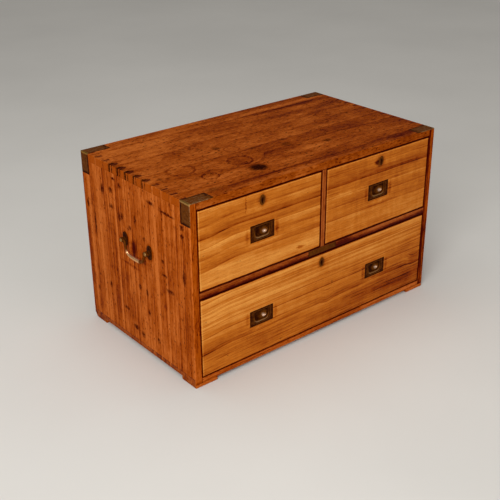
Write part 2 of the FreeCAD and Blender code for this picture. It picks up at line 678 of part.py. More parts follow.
class Drawer:
    """Sizes and places of one drawer, from the opening that it fills."""

    def __init__(self, name, x0, x1, z0, z1, top_gap, handles, key_shift):
        self.name = name
        self.x0 = x0 + SIDE_GAP
        self.x1 = x1 - SIDE_GAP
        self.z_front = z0 + FRONT_BOTTOM_GAP
        self.z_ceiling = z1
        self.z_top = z1 - top_gap
        self.z_side = z0 + RUNNING_GAP
        self.z_side_top = self.z_top - SIDE_TOP_DROP
        self.z_bottom = self.z_side + DRAWER_BOTTOM_RAISE
        self.x_middle = (x0 + x1) / 2
        self.key_x = self.x_middle + key_shift
        self.key_z = self.z_top - KEY_DROP
        self.handle_z = (self.z_front + self.z_top) / 2 - PLATE_DROP
        self.handles = [(label, self.x_middle + offset) for label, offset in handles]

    def side(self, end):
        """Side board with tails at both ends. The gaps between them hold the pins of front and back."""
        x0 = self.x0 if end < 0 else self.x1 - DRAWER_SIDE_THICKNESS
        x1 = x0 + DRAWER_SIDE_THICKNESS
        y_end = Y_DRAWER_FACE + FRONT_LAP
        board = box(x0, x1, y_end, Y_DRAWER_REAR, self.z_side, self.z_side_top)
        pitch = (self.z_side_top - self.z_side) / DRAWER_TAILS
        gaps = []
        for place in range(DRAWER_TAILS + 1):
            z = self.z_side + place * pitch
            for tip, base in ((y_end, Y_DRAWER_INSIDE), (Y_DRAWER_REAR, Y_DRAWER_REAR - DRAWER_BACK_THICKNESS)):
                narrow = DRAWER_PIN_NARROW / 2
                wide = narrow + abs(base - tip) * DOVETAIL_SLOPE
                points = [Vector(x0, tip, z - narrow), Vector(x0, tip, z + narrow), Vector(x0, base, z + wide),
                          Vector(x0, base, z - wide)]
                gaps.append(prism(points, Vector(DRAWER_SIDE_THICKNESS, 0, 0)))
        return board.cut(Part.makeCompound(gaps))

    def bottoms(self, muntin):
        """Bottom panels in the grooves of sides and front: one, or one on each side of a muntin."""
        reach0 = self.x0 + DRAWER_SIDE_THICKNESS - DRAWER_GROOVE
        reach1 = self.x1 - DRAWER_SIDE_THICKNESS + DRAWER_GROOVE
        spans = [(reach0, reach1)]
        if muntin:
            inner = MUNTIN_WIDTH / 2 - DRAWER_GROOVE
            spans = [(reach0, self.x_middle - inner), (self.x_middle + inner, reach1)]
        return [box(a, b, Y_DRAWER_INSIDE - DRAWER_GROOVE, Y_DRAWER_REAR, self.z_bottom,
                    self.z_bottom + DRAWER_BOTTOM_THICKNESS) for a, b in spans]

    def muntin(self):
        """Bearer under the middle of the bottom, from the drawer front to the back."""
        half = MUNTIN_WIDTH / 2
        z = self.z_bottom - MUNTIN_UNDER
        return box(self.x_middle - half, self.x_middle + half, Y_DRAWER_INSIDE - DRAWER_GROOVE, Y_DRAWER_REAR,
                   z, z + MUNTIN_THICKNESS)

    def build(self, muntin=False):
        """All pieces of the drawer as node names and shapes."""
        name = self.name
        sides = [self.side(-1), self.side(1)]
        bottoms = self.bottoms(muntin)
        panels = Part.makeCompound(bottoms)
        front = box(self.x0, self.x1, Y_DRAWER_FACE, Y_DRAWER_INSIDE, self.z_front, self.z_top)
        face_edges = [edge for edge in front.Edges if edge.BoundBox.YMax < Y_DRAWER_FACE + FRONT_THICKNESS / 2]
        front = front.makeFillet(FRONT_EDGE_RADIUS, face_edges)
        back = box(self.x0, self.x1, Y_DRAWER_REAR - DRAWER_BACK_THICKNESS, Y_DRAWER_REAR,
                   self.z_bottom + DRAWER_BOTTOM_THICKNESS, self.z_side_top)
        for side in sides:
            front = front.cut(side)
            back = back.cut(side)
        sides = [side.cut(panels) for side in sides]
        front = front.cut(panels)
        nodes = {}
        if muntin:
            bearer = self.muntin()
            front = front.cut(bearer)
            back = back.cut(bearer)
            nodes[name + "_muntin"] = one_solid(bearer.cut(panels))
        screws = []
        for label, x in self.handles:
            at = Vector(x, 0, self.handle_z)
            corner_screws = handle_screws(x, self.handle_z)
            blanks = Part.makeCompound([plain for _, plain in corner_screws])
            recess = plate_outside()
            recess.translate(at)
            plate = handle_plate()
            plate.translate(at)
            bail = flush_bail()
            bail.translate(at)
            front = front.cut(recess).cut(blanks)
            screws.extend(slotted for slotted, _ in corner_screws)
            nodes[label + "_handle_plate"] = one_solid(plate.cut(blanks))
            nodes[label + "_handle_bail"] = bail
        hole = keyhole(self.key_x, self.key_z)
        oval = escutcheon(self.key_x, self.key_z)
        front = front.cut(lock_outside(self.key_x, self.z_top)).cut(oval).cut(hole)
        nodes[name + "_front"] = one_solid(front)
        nodes[name + "_left_side"] = one_solid(sides[0])
        nodes[name + "_right_side"] = one_solid(sides[1])
        nodes[name + "_back"] = one_solid(back)
        nodes[name + "_bottom"] = group(bottoms)
        nodes[name + "_escutcheon"] = one_solid(oval.cut(hole))
        nodes[name + "_lock_case"] = lock_case(self.key_x, self.z_top)
        nodes[name + "_lock_bolt"] = lock_bolt(self.key_x, self.z_top)
        nodes[name + "_screws"] = group(screws)
        return nodes


def drawers():
    """The two short drawers and the long one."""
    return [
        Drawer("left_drawer", -X_IN, -UPRIGHT_HALF, Z_RAIL_TOP, Z_CEILING, SHORT_TOP_GAP,
               [("left_drawer", 0.0)], 0.0),
        Drawer("right_drawer", UPRIGHT_HALF, X_IN, Z_RAIL_TOP, Z_CEILING, SHORT_TOP_GAP,
               [("right_drawer", 0.0)], RIGHT_KEY_SHIFT),
        Drawer("long_drawer", -X_IN, X_IN, Z_FLOOR, Z_RAIL_UNDER, LONG_TOP_GAP,
               [("long_drawer_left", -LONG_PLATE_OFFSET), ("long_drawer_right", LONG_PLATE_OFFSET)], 0.0),
    ]


def carcass(all_drawers):
    """All pieces of the carcass as node names and shapes."""
    envelope = carcass_envelope()
    rail = middle_rail()
    upright = centre_upright()
    dust = dust_board()
    boards = back_boards()
    nails = back_board_nails()
    top = tailed_board(Y_REAR, Z_CEILING, HEIGHT)
    bottom = tailed_board(Y_BACK_IN, FOOT_HEIGHT, Z_FLOOR)
    rebate = box(-X_IN - BACK_REBATE, X_IN + BACK_REBATE, Y_BACK_IN, Y_REAR, FOOT_HEIGHT, Z_CEILING)
    sides = {}
    for name, x in (("left_side", -X_OUT), ("right_side", X_IN)):
        blank = box(x, x + SIDE_THICKNESS, Y_FRONT, Y_REAR, FOOT_HEIGHT, HEIGHT)
        sides[name] = blank.cut(top).cut(bottom).cut(rail).cut(dust).cut(rebate)
    straps = {}
    strap_screws = []
    for row, end in (("front", -1), ("rear", 1)):
        for column, side in (("left", -1), ("right", 1)):
            straps[row + "_" + column + "_corner_strap"] = corner_strap(side, end)
            strap_screws.extend(corner_strap_screws(side, end))
    posts = []
    post_screws = []
    for side in (-1, 1):
        for end in (-1, 1):
            posts.append(handle_post(side, end))
            post_screws.extend(handle_post_screws(side, end))
    face_screws = rail_strap_screws()
    strap_holes = Part.makeCompound([plain for _, plain in strap_screws])
    post_holes = Part.makeCompound([plain for _, plain in post_screws])
    face_holes = Part.makeCompound([plain for _, plain in face_screws])
    strap_beds = Part.makeCompound(list(straps.values()))
    nail_holes = Part.makeCompound(nails)
    mortises = Part.makeCompound([bolt_mortise(drawer) for drawer in all_drawers])

    nodes = {
        "top_board": top.cut(upright).cut(mortises).cut(strap_beds).cut(strap_holes).common(envelope),
        "bottom_board": bottom.common(envelope),
        "middle_rail": rail.cut(upright).cut(mortises).cut(rail_strap()).cut(face_holes),
        "dust_board": dust,
        "centre_upright": upright,
        "centre_guide": centre_guide(),
        "rail_strap": rail_strap().cut(face_holes),
    }
    for name, shape in sides.items():
        nodes[name] = shape.cut(strap_beds).cut(strap_holes).cut(post_holes).cut(nail_holes).common(envelope)
    for name, shape in straps.items():
        nodes[name] = shape.cut(strap_holes).common(envelope)
    nodes = {name: one_solid(shape) for name, shape in nodes.items()}
    boards = [board.cut(nail_holes).cut(strap_holes).common(envelope) for board in boards]
    nodes["back_boards"] = group([one_solid(board) for board in boards])
    nodes["back_board_nails"] = group(nails)
    nodes["kickers"] = kickers()
    nodes["drawer_stops"] = drawer_stops()
    nodes["foot_pads"] = foot_pads()
    nodes["corner_strap_screws"] = group([slotted for slotted, _ in strap_screws])
    nodes["rail_strap_screws"] = group([slotted for slotted, _ in face_screws])
    nodes["handle_posts"] = group([one_solid(post.cut(post_holes)) for post in posts])
    nodes["handle_post_screws"] = group([slotted for slotted, _ in post_screws])
    nodes["left_side_bail"] = side_bail(-1)
    nodes["right_side_bail"] = side_bail(1)
    return nodes


def main():
    os.makedirs("parts", exist_ok=True)
    all_drawers = drawers()
    nodes = carcass(all_drawers)
    for drawer in all_drawers:
        nodes.update(drawer.build(muntin=drawer.name == "long_drawer"))
    for name, shape in nodes.items():
        shape.exportStep(os.path.join("parts", name + ".step"))
        print(name, len(shape.Solids), "valid" if shape.isValid() else "INVALID", round(shape.Volume))


main()
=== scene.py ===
"""Looks of a campaign chest in camphor wood with aged brass fittings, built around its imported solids.

Lengths are metres in the frame of the chest: X runs along its front, Y goes from front to back and Z is up.
"""
import math
from functools import partial

import bpy
import numpy as np
from bpy.props import FloatProperty, FloatVectorProperty, PointerProperty
from mathutils import Matrix, Vector


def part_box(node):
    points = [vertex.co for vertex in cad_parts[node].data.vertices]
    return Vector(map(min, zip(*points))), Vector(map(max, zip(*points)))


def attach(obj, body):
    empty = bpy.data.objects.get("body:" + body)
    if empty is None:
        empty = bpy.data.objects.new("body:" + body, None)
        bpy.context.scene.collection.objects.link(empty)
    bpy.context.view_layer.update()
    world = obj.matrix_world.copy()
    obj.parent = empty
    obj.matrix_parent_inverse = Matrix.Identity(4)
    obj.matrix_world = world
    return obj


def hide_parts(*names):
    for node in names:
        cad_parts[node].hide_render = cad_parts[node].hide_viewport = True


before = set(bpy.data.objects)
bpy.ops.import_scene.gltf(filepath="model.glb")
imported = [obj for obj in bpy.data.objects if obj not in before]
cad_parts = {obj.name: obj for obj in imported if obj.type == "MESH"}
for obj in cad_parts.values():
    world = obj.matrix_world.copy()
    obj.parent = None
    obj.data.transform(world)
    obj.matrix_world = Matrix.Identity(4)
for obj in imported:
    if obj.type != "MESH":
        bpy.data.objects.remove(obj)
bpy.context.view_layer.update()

bl_info = {
    "name": "Campaign Chest",
    "version": (1, 0, 0),
    "blender": (4, 5, 0),
    "location": "3D View > Sidebar > Chest",
    "description": "Wood finishes and brass fittings of a campaign chest",
    "category": "Object",
}

MM = 0.001
FRONT_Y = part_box("left_side")[0].y
SIDE_X, REAR_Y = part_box("right_side")[1].xy
TOP_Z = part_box("top_board")[1].z
DRAWERS = ("left_drawer", "right_drawer", "long_drawer")
HANDLES = {
    "left_drawer": "left_drawer",
    "right_drawer": "right_drawer",
    "long_drawer_left": "long_drawer",
    "long_drawer_right": "long_drawer",
}
EASED = {"interpolation_type": "SMOOTHSTEP"}  # Setting of a MapRange node that changes smoothly


def linear(code):
    """Linear RGBA of an sRGB hex colour: each channel goes through the standard curve."""
    channels = np.array([int(code[place:place + 2], 16) for place in (1, 3, 5)]) / 255
    curve = np.where(channels <= 0.04045, channels / 12.92, ((channels + 0.055) / 1.055) ** 2.4)
    return (*(float(value) for value in curve), 1.0)


def colour(name, code, description):
    """A colour setting with an sRGB hex default."""
    return FloatVectorProperty(name=name, description=description, default=linear(code)[:3], size=3,
                               subtype="COLOR", min=0, max=1)


def length(name, millimetres, description):
    """A length setting with a default in millimetres."""
    return FloatProperty(name=name, description=description, default=millimetres * MM, subtype="DISTANCE",
                         unit="LENGTH", min=0, precision=4)


class ChestWoodSettings(bpy.types.PropertyGroup):
    """Colours and polish of the camphor wood."""
    front_light: colour("Front, light rings", "#D68F40", "Light early wood of the drawer fronts")
    front_mid: colour("Front, middle", "#B5641A", "Middle tone of the drawer fronts")
    front_dark: colour("Front, dark rings", "#803000", "Late wood lines of the drawer fronts")
    side_light: colour("Sides, light rings", "#BE6426", "Light streaks of the side boards")
    side_mid: colour("Sides, middle", "#9B4405", "Middle tone of the side boards")
    side_dark: colour("Sides, dark rings", "#681C00", "Dark streaks of the side boards")
    top_light: colour("Top, light rings", "#B05C20", "Light parts of the top board")
    top_mid: colour("Top, middle", "#8A3C05", "Middle tone of the top board")
    top_dark: colour("Top, dark rings", "#5A1800", "Dark streaks of the top board")
    frame_light: colour("Frame, light rings", "#A85A26", "Light parts of rail and upright")
    frame_mid: colour("Frame, middle", "#843806", "Middle tone of rail and upright")
    frame_dark: colour("Frame, dark rings", "#5A1700", "Dark parts of rail and upright")
    inner_light: colour("Inside, light rings", "#C08A54", "Light parts of the unpolished inner boards")
    inner_mid: colour("Inside, middle", "#9C6236", "Middle tone of the unpolished inner boards")
    inner_dark: colour("Inside, dark rings", "#6F3D1C", "Dark parts of the unpolished inner boards")
    knot: colour("Knots and bruises", "#240600", "Dark heart of knots and old dents")
    # This colour also paints shade: the dark edge bands along the gaps around the drawers, the rail and the upright
    # push the tone onto it, partly as dirt.
    grime: colour("Grime", "#400600", "Old wax and dirt along joints and edges")
    polish_roughness: FloatProperty(name="Polish roughness", description="Roughness of the waxed faces",
                                    default=0.4, min=0.05, max=1, subtype="FACTOR")


class ChestBrassSettings(bpy.types.PropertyGroup):
    """Sizes and colours of the brass fittings."""
    patina: colour("Patina", "#5E3007", "Brown skin of old lacquered brass")
    patina_dark: colour("Dark patina", "#2C0C02", "Dirt in the hollows of the brass")
    # The bowl colour is also the colour of the painted lamp highlight low on the right of each bowl.
    bowl: colour("Finger bowl", "#C8AC9C", "Brass of the bowls, polished by fingers")
    bare: colour("Bare brass", "#B98F55", "Brass rubbed bare by hands")
    dish: colour("Half rubbed brass", "#8C6442", "Brass between its brown skin and the rubbed metal")
    # The grip colour is bright enough to paint the lamp highlight along the grips as well as their hand wear.
    grip: colour("Grip", "#FFC48E", "Bright brass of the carrying grips")
    recess_width: length("Recess width", 60, "Width of the recess that the flush bail lies in")
    recess_height: length("Recess height", 37, "Height of that recess")
    recess_depth: length("Recess depth", 6.6, "Depth of that recess below the face of the plate")
    recess_lower: length("Recess lower radius", 17, "Radius of its lower corners")
    recess_upper: length("Recess upper radius", 1, "Radius of its upper corners")
    bowl_depth: length("Bowl depth", 13, "Depth of the finger bowl below the face of the plate")
    bowl_lower: length("Bowl lower radius", 14, "Radius of the lower corners of the bowl")
    bowl_upper: length("Bowl upper radius", 8, "Radius of the upper corners of the bowl")
    cup_wall: length("Cup wall", 2.2, "Thickness of the cup behind the plate")
    plate_thickness: length("Plate thickness", 2.6, "Thickness of a flush plate")
    bail_bar: length("Bail width", 6, "Width of the bar of a flush bail")
    bail_thickness: length("Bail thickness", 5.6, "Thickness of the bar of a flush bail")
    bail_gap: length("Bail gap", 0.6, "Gap between a flush bail and the wall of its recess")
    trunnion_radius: length("Trunnion radius", 1.6, "Radius of the pins of a flush bail")
    trunnion_length: length("Trunnion length", 1.6, "Length of a pin inside the wall of the recess")
    pivot_height: length("Carrying pivot height", 340, "Height of the pivots of the carrying handles")
    pivot_from_front: length("Carrying handle from the front", 252, "From the front of the chest to its middle")
    post_spacing: length("Post spacing", 120, "Between the two posts of a carrying handle")
    stand_off: length("Post stand-off", 11, "From the side of the chest to the pivot")
    ball_radius: length("Ball radius", 7.5, "Radius of the ball of a post")
    stem_radius: length("Stem radius", 5, "Radius of the stem of a post")
    rose_width: length("Rose width", 22, "Width of the oval rose under a post")
    rose_height: length("Rose height", 42, "Height of the oval rose under a post")
    rose_thickness: length("Rose thickness", 2.5, "Thickness of the rose")
    pin_radius: length("Carrying pin radius", 2.6, "Radius of the bar of a carrying bail at its ends")
    swell_radius: length("Grip radius", 5.7, "Radius of a carrying bail at the middle of its grip")
    grip_drop: length("Grip drop", 38, "From the pivots down to the grip")
    grip_inset: length("Grip inset", 14, "From a post in to the arm of the bail")


class ChestStageSettings(bpy.types.PropertyGroup):
    """Floor, lamps and camera."""
    floor: colour("Floor", "#D5D2CC", "Plain pale floor")
    key_power: FloatProperty(name="Key lamp", description="Power of the large lamp on the left", default=118, min=0,
                             unit="POWER")
    fill_power: FloatProperty(name="Fill lamp", description="Power of the lamp in front", default=18, min=0,
                              unit="POWER")
    top_power: FloatProperty(name="Top lamp", description="Power of the lamp above", default=22, min=0, unit="POWER")
    surround: FloatProperty(name="Surround", description="Brightness of the room", default=0.42, min=0)
    lens: FloatProperty(name="Lens", description="Focal length of the camera", default=64.226, unit="CAMERA", min=1)


# Meshes

def new_object(name, data):
    """An object of the scene that holds a mesh, a lamp or a camera."""
    made = bpy.data.objects.new(name, data)
    bpy.context.scene.collection.objects.link(made)
    return made


def closed_shell(rings, wear, wrap_rows=False):
    """Shell through closed rings, shaped (ring, point, 3). Both end rings are closed by a fan to their middle, or
    the last ring goes on to the first where the rows wrap.

    The signed volume is the sum of corner . (corner x corner) / 6 over all triangles, and a shell with a negative
    one is turned, so faces point outwards.
    """
    rows, columns = rings.shape[:2]
    points = rings.reshape(-1, 3)
    wear = np.broadcast_to(wear, (rows, columns)).reshape(-1)
    index = np.arange(rows * columns).reshape(rows, columns)
    here, beyond = (index, np.roll(index, -1, 0)) if wrap_rows else (index[:-1], index[1:])
    quads = np.stack([here, np.roll(here, -1, 1), np.roll(beyond, -1, 1), beyond], -1).reshape(-1, 4)
    triangles = np.zeros((0, 3), int)
    if not wrap_rows:
        first, last, count = index[0], index[-1], len(points)
        triangles = np.concatenate([
            np.stack([np.roll(first, -1), first, np.full(columns, count)], -1),
            np.stack([last, np.roll(last, -1), np.full(columns, count + 1)], -1)])
        points = np.concatenate([points, [rings[0].mean(0), rings[-1].mean(0)]])
        wear = np.concatenate([wear, [wear[0], wear[-1]]])
    parts = np.concatenate([quads[:, [0, 1, 2]], quads[:, [0, 2, 3]], triangles])
    a, b, c = points[parts[:, 0]], points[parts[:, 1]], points[parts[:, 2]]
    if np.einsum("ij,ij->i", a, np.cross(b, c)).sum() < 0:
        quads, triangles = quads[:, ::-1], triangles[:, ::-1]
    return points, quads, triangles, wear


def make_piece(name, shells, material, body, node, smooth_angle):
    """One mesh object made of shells, which rides on a body and stands for its solids."""
    points, faces, wear, first = [], [], [], 0
    for shell_points, quads, triangles, shell_wear in shells:
        points.append(shell_points)
        wear.append(shell_wear)
        faces += (quads + first).tolist() + (triangles + first).tolist()
        first += len(shell_points)
    mesh = bpy.data.meshes.new(name)
    mesh.from_pydata(np.concatenate(points).tolist(), [], faces)
    wear = np.concatenate(wear).astype(np.float32)
    mesh.attributes.new("wear", "FLOAT", "POINT").data.foreach_set("value", wear)
    mesh.polygons.foreach_set("use_smooth", np.ones(len(mesh.polygons), bool))
    mesh.set_sharp_from_angle(angle=math.radians(smooth_angle))
    mesh.materials.append(material)
    piece = new_object(name, mesh)
    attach(piece, body)
    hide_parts(node)


def face_middle(node):
    """Middle of the front face of a solid."""
    low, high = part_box(node)
    return np.array([(low.x + high.x) / 2, low.y, (low.z + high.z) / 2])


def rounded_outlines(width, height, lower, upper, arc, side):
    """Rounded rectangles as (ring, point, 2), anticlockwise from the upper right: each is four quarter circles
    centre + radius (cos a, sin a), with straight runs between them. Sizes are arrays with one value per ring."""
    radius = np.stack([upper, upper, lower, lower], -1)
    centre_x = np.array([1, -1, -1, 1]) * (width[:, None] / 2 - radius)
    centre_z = np.array([1, 1, -1, -1]) * (height[:, None] / 2 - radius)
    angle = np.radians(np.array([0, 90, 180, 270])[:, None] + np.linspace(0, 90, arc))
    arcs = np.stack([centre_x[..., None] + radius[..., None] * np.cos(angle),
                     centre_z[..., None] + radius[..., None] * np.sin(angle)], -1)
    share = np.linspace(0, 1, side + 2)[1:-1][:, None]
    runs = arcs[:, :, -1, None] * (1 - share) + np.roll(arcs[:, :, 0], -1, axis=1)[:, :, None] * share
    return np.concatenate([arcs, runs], axis=2).reshape(len(width), -1, 2)


def turned_rings(profile, columns):
    """Rings of a lathe shape around the first axis: each profile point (along, radius) gives the circle
    (along, radius cos a, radius sin a)."""
    along, radius = np.array(profile).T[..., None]
    angle = np.linspace(0, 2 * math.pi, columns, endpoint=False)
    return np.stack([along + 0 * angle, radius * np.cos(angle), radius * np.sin(angle)], -1)


def swept_rings(path, binormal, half_wide, half_deep, columns, squareness=2):
    """Rings of a bar along a flat path: each is path + half_wide * c * normal + half_deep * s * binormal, where c and
    s are the cosine and sine of the turn raised to 2 / squareness, and the normal lies in the plane of the path."""
    tangent = np.gradient(path, axis=0)
    tangent /= np.linalg.norm(tangent, axis=1)[:, None]
    angle = np.linspace(0, 2 * math.pi, columns, endpoint=False)
    across, deep = (np.sign(wave) * np.abs(wave) ** (2 / squareness) for wave in (np.cos(angle), np.sin(angle)))
    half_wide, half_deep = (np.broadcast_to(half, len(path))[:, None, None] for half in (half_wide, half_deep))
    return (path[:, None] + half_wide * across[:, None] * np.cross(tangent, binormal)[:, None]
            + half_deep * deep[:, None] * np.array(binormal))


def screw_shell(at, inwards, radius, depth, turn):
    """Countersunk screw with a low dome and a slot. The head is a grid of circles: its height is
    -dome * (r / radius)^2, less the slot depth where the distance across the slot is small, eased at its walls.
    Cone, shank and tip follow as smaller circles."""
    slot_half, slot_depth = 0.4 * MM, 0.5 * MM
    inwards = np.array(inwards, float)
    angle = np.linspace(0, 2 * math.pi, 40, endpoint=False)
    share = np.array([[0.06, 0.2, 0.36, 0.52, 0.68, 0.82, 0.93, 1]]).T
    cut = slot_depth * np.clip(1.6 - 2.2 * np.abs(share * radius * np.sin(angle - turn)) / slot_half, 0, 1)
    height = -0.1 * radius * share ** 2 - cut * (share < 0.99)
    lower = np.array([(1, -0.14 * radius), (0.5, -0.6 * radius), (0.5, radius - depth), (0.06, -depth)])
    r = np.concatenate([share, lower[:, :1]])[..., None] * radius
    height = np.concatenate([height, lower[:, 1:] + 0 * angle])[..., None]
    side = np.cross(inwards, [0, 0, 1] if abs(inwards[2]) < 0.5 else [0, 1, 0])
    around = np.cos(angle)[:, None] * side + np.sin(angle)[:, None] * np.cross(side, inwards)
    wear = np.concatenate([1 - cut / slot_depth, 0 * lower[:, :1] + 0 * angle])
    return closed_shell(np.array(at) - height * inwards + r * around, 0.36 * wear)


# Materials

def add_node(tree, kind, inputs=(), output=0, stops=(), **settings):
    """Adds a node with its settings, and with its stops if it is a colour ramp, links or sets its inputs, and gives
    one of its outputs, or else the node."""
    node = tree.nodes.new("ShaderNode" + kind)
    for name, value in settings.items():
        setattr(node, name, value)
    for number, (place, value) in enumerate(stops):
        elements = node.color_ramp.elements
        stop = elements[number] if number < 2 else elements.new(place)
        stop.position, stop.color = place, value
    for place, value in inputs.items() if isinstance(inputs, dict) else enumerate(inputs):
        if isinstance(value, bpy.types.NodeSocket):
            tree.links.new(value, node.inputs[place])
        else:
            node.inputs[place].default_value = value
    return node if output is None else node.outputs[output]


def new_material(name):
    """A material with no nodes yet, and the function that adds them."""
    material = bpy.data.materials.new(name)
    material.use_nodes = True
    material.node_tree.nodes.clear()
    return material, partial(add_node, material.node_tree)


def in_millimetres(add):
    """The place on the chest in millimetres."""
    place = add("TexCoord", output="Object")
    return add("Mapping", {"Vector": place, "Scale": (1 / MM,) * 3})


def summed(add, terms, constant=0):
    """Sum of sockets times their factors, plus a constant: the terms are (socket, factor) pairs."""
    total = constant
    for socket, factor in terms:
        total = add("Math", [socket, factor, total], operation="MULTIPLY_ADD")
    return total


def off_plane(add, place, where):
    """Distance of a place from a plane, along one direction."""
    return add("Math", [summed(add, [(place, 1)], -where)], operation="ABSOLUTE")


def facing(add, axis):
    """How squarely a face looks along a direction of the chest, from 0 to 1."""
    normal = add("TexCoord", output="Normal")
    direction = tuple(float(axis == each) for each in "XYZ")
    along = add("VectorMath", [normal, direction], "Value", operation="DOT_PRODUCT")
    return add("Math", [along], operation="ABSOLUTE")


def board_space(add, axes, seed):
    """Millimetres along the grain, across it and through the board, and the same shifted for each board."""
    split = add("SeparateXYZ", [in_millimetres(add)], None)
    real = add("CombineXYZ", [split.outputs[axis] for axis in axes])
    shift = (137 * seed, 89 * seed, 53 * seed)
    return real, add("VectorMath", [real, shift], operation="ADD")


def stretched_noise(add, space, sizes, detail=2, roughness=0.5):
    """Noise from 0 to 1 whose features are about as long as the sizes along, across and through the board."""
    vector = add("VectorMath", [space, tuple(1 / size for size in sizes)], operation="MULTIPLY")
    return add("TexNoise", {"Vector": vector, "Scale": 1, "Detail": detail, "Roughness": roughness})


def spot_field(add, space, spots, hollow=False):
    """The strongest of several soft ovals at each point: (along, across, half length, half width, strength). A hollow
    oval is only its outline."""
    strongest = 0
    for along, across, half_long, half_wide, strength in spots:
        offset = add("VectorMath", [space, (along, across, 0)], operation="SUBTRACT")
        oval = add("VectorMath", [offset, (1 / half_long, 1 / half_wide, 0)], operation="MULTIPLY")
        reach = add("VectorMath", [oval], "Value", operation="LENGTH")
        start, end = 0.3, 1.3
        if hollow:
            reach = off_plane(add, reach, 1)
            start, end = 0.02, 0.16
        spot = add("MapRange", [reach, start, end, strength, 0], **EASED)
        strongest = add("Math", [strongest, spot], operation="MAXIMUM")
    return strongest


def ring_count(add, across, lines):
    """Number of the ring at a place across the board, where the late wood lines stand at the given places: straight
    runs through (place, number)."""
    low, high, count = min(lines), max(lines), len(lines) - 1
    share = add("MapRange", [across, low, high])
    node = add("FloatCurve", {"Factor": 1, "Value": share}, None)
    curve = node.mapping.curves[0]
    for number, line in enumerate(lines[1:-1], 1):
        curve.points.new((line - low) / (high - low), number / count)
    ends = (0, 1) if lines[0] < lines[-1] else (1, 0)
    curve.points[0].location = (0, ends[0])
    curve.points[-1].location = (1, ends[1])
    for point in curve.points:
        point.handle_type = "VECTOR"
    node.mapping.update()
    return summed(add, [(node.outputs[0], count)])


def growth_rings(add, ring, start):
    """Growth rings from a ring number: late wood darkens slowly and ends in a sharp line, after which the next ring
    starts light. Returns that slope, the line, and a tone of its own for each ring."""
    slope = add("Math", [ring], operation="FRACT")
    number = add("Math", [ring], operation="FLOOR")
    own = add("TexWhiteNoise", {"W": number}, noise_dimensions="1D")
    rise = add("MapRange", [slope, start, 0.96], **EASED)
    late = add("MapRange", [slope, 0.965, 1, 1, 0], **EASED)
    return slope, add("Math", [rise, late], operation="MULTIPLY"), own


# How much each part of the figure changes the tone, and the mean that it has on its own
FIGURE = dict(
    slope=(-0.2, 0.5), own=(0.12, 0.5), line=(-0.3, 0.06), fine_line=(-0.2, 0.1), fine_own=(0.08, 0.5),
    fade=(0.6, 0.5), coarse=(0.45, 0.5), fibre=(0.55, 0.5), cloud=(0.7, 0.5), mottle=(0.3, 0.5), curl=(0.12, 0.5),
    scratch=(-0.3, 0.15))


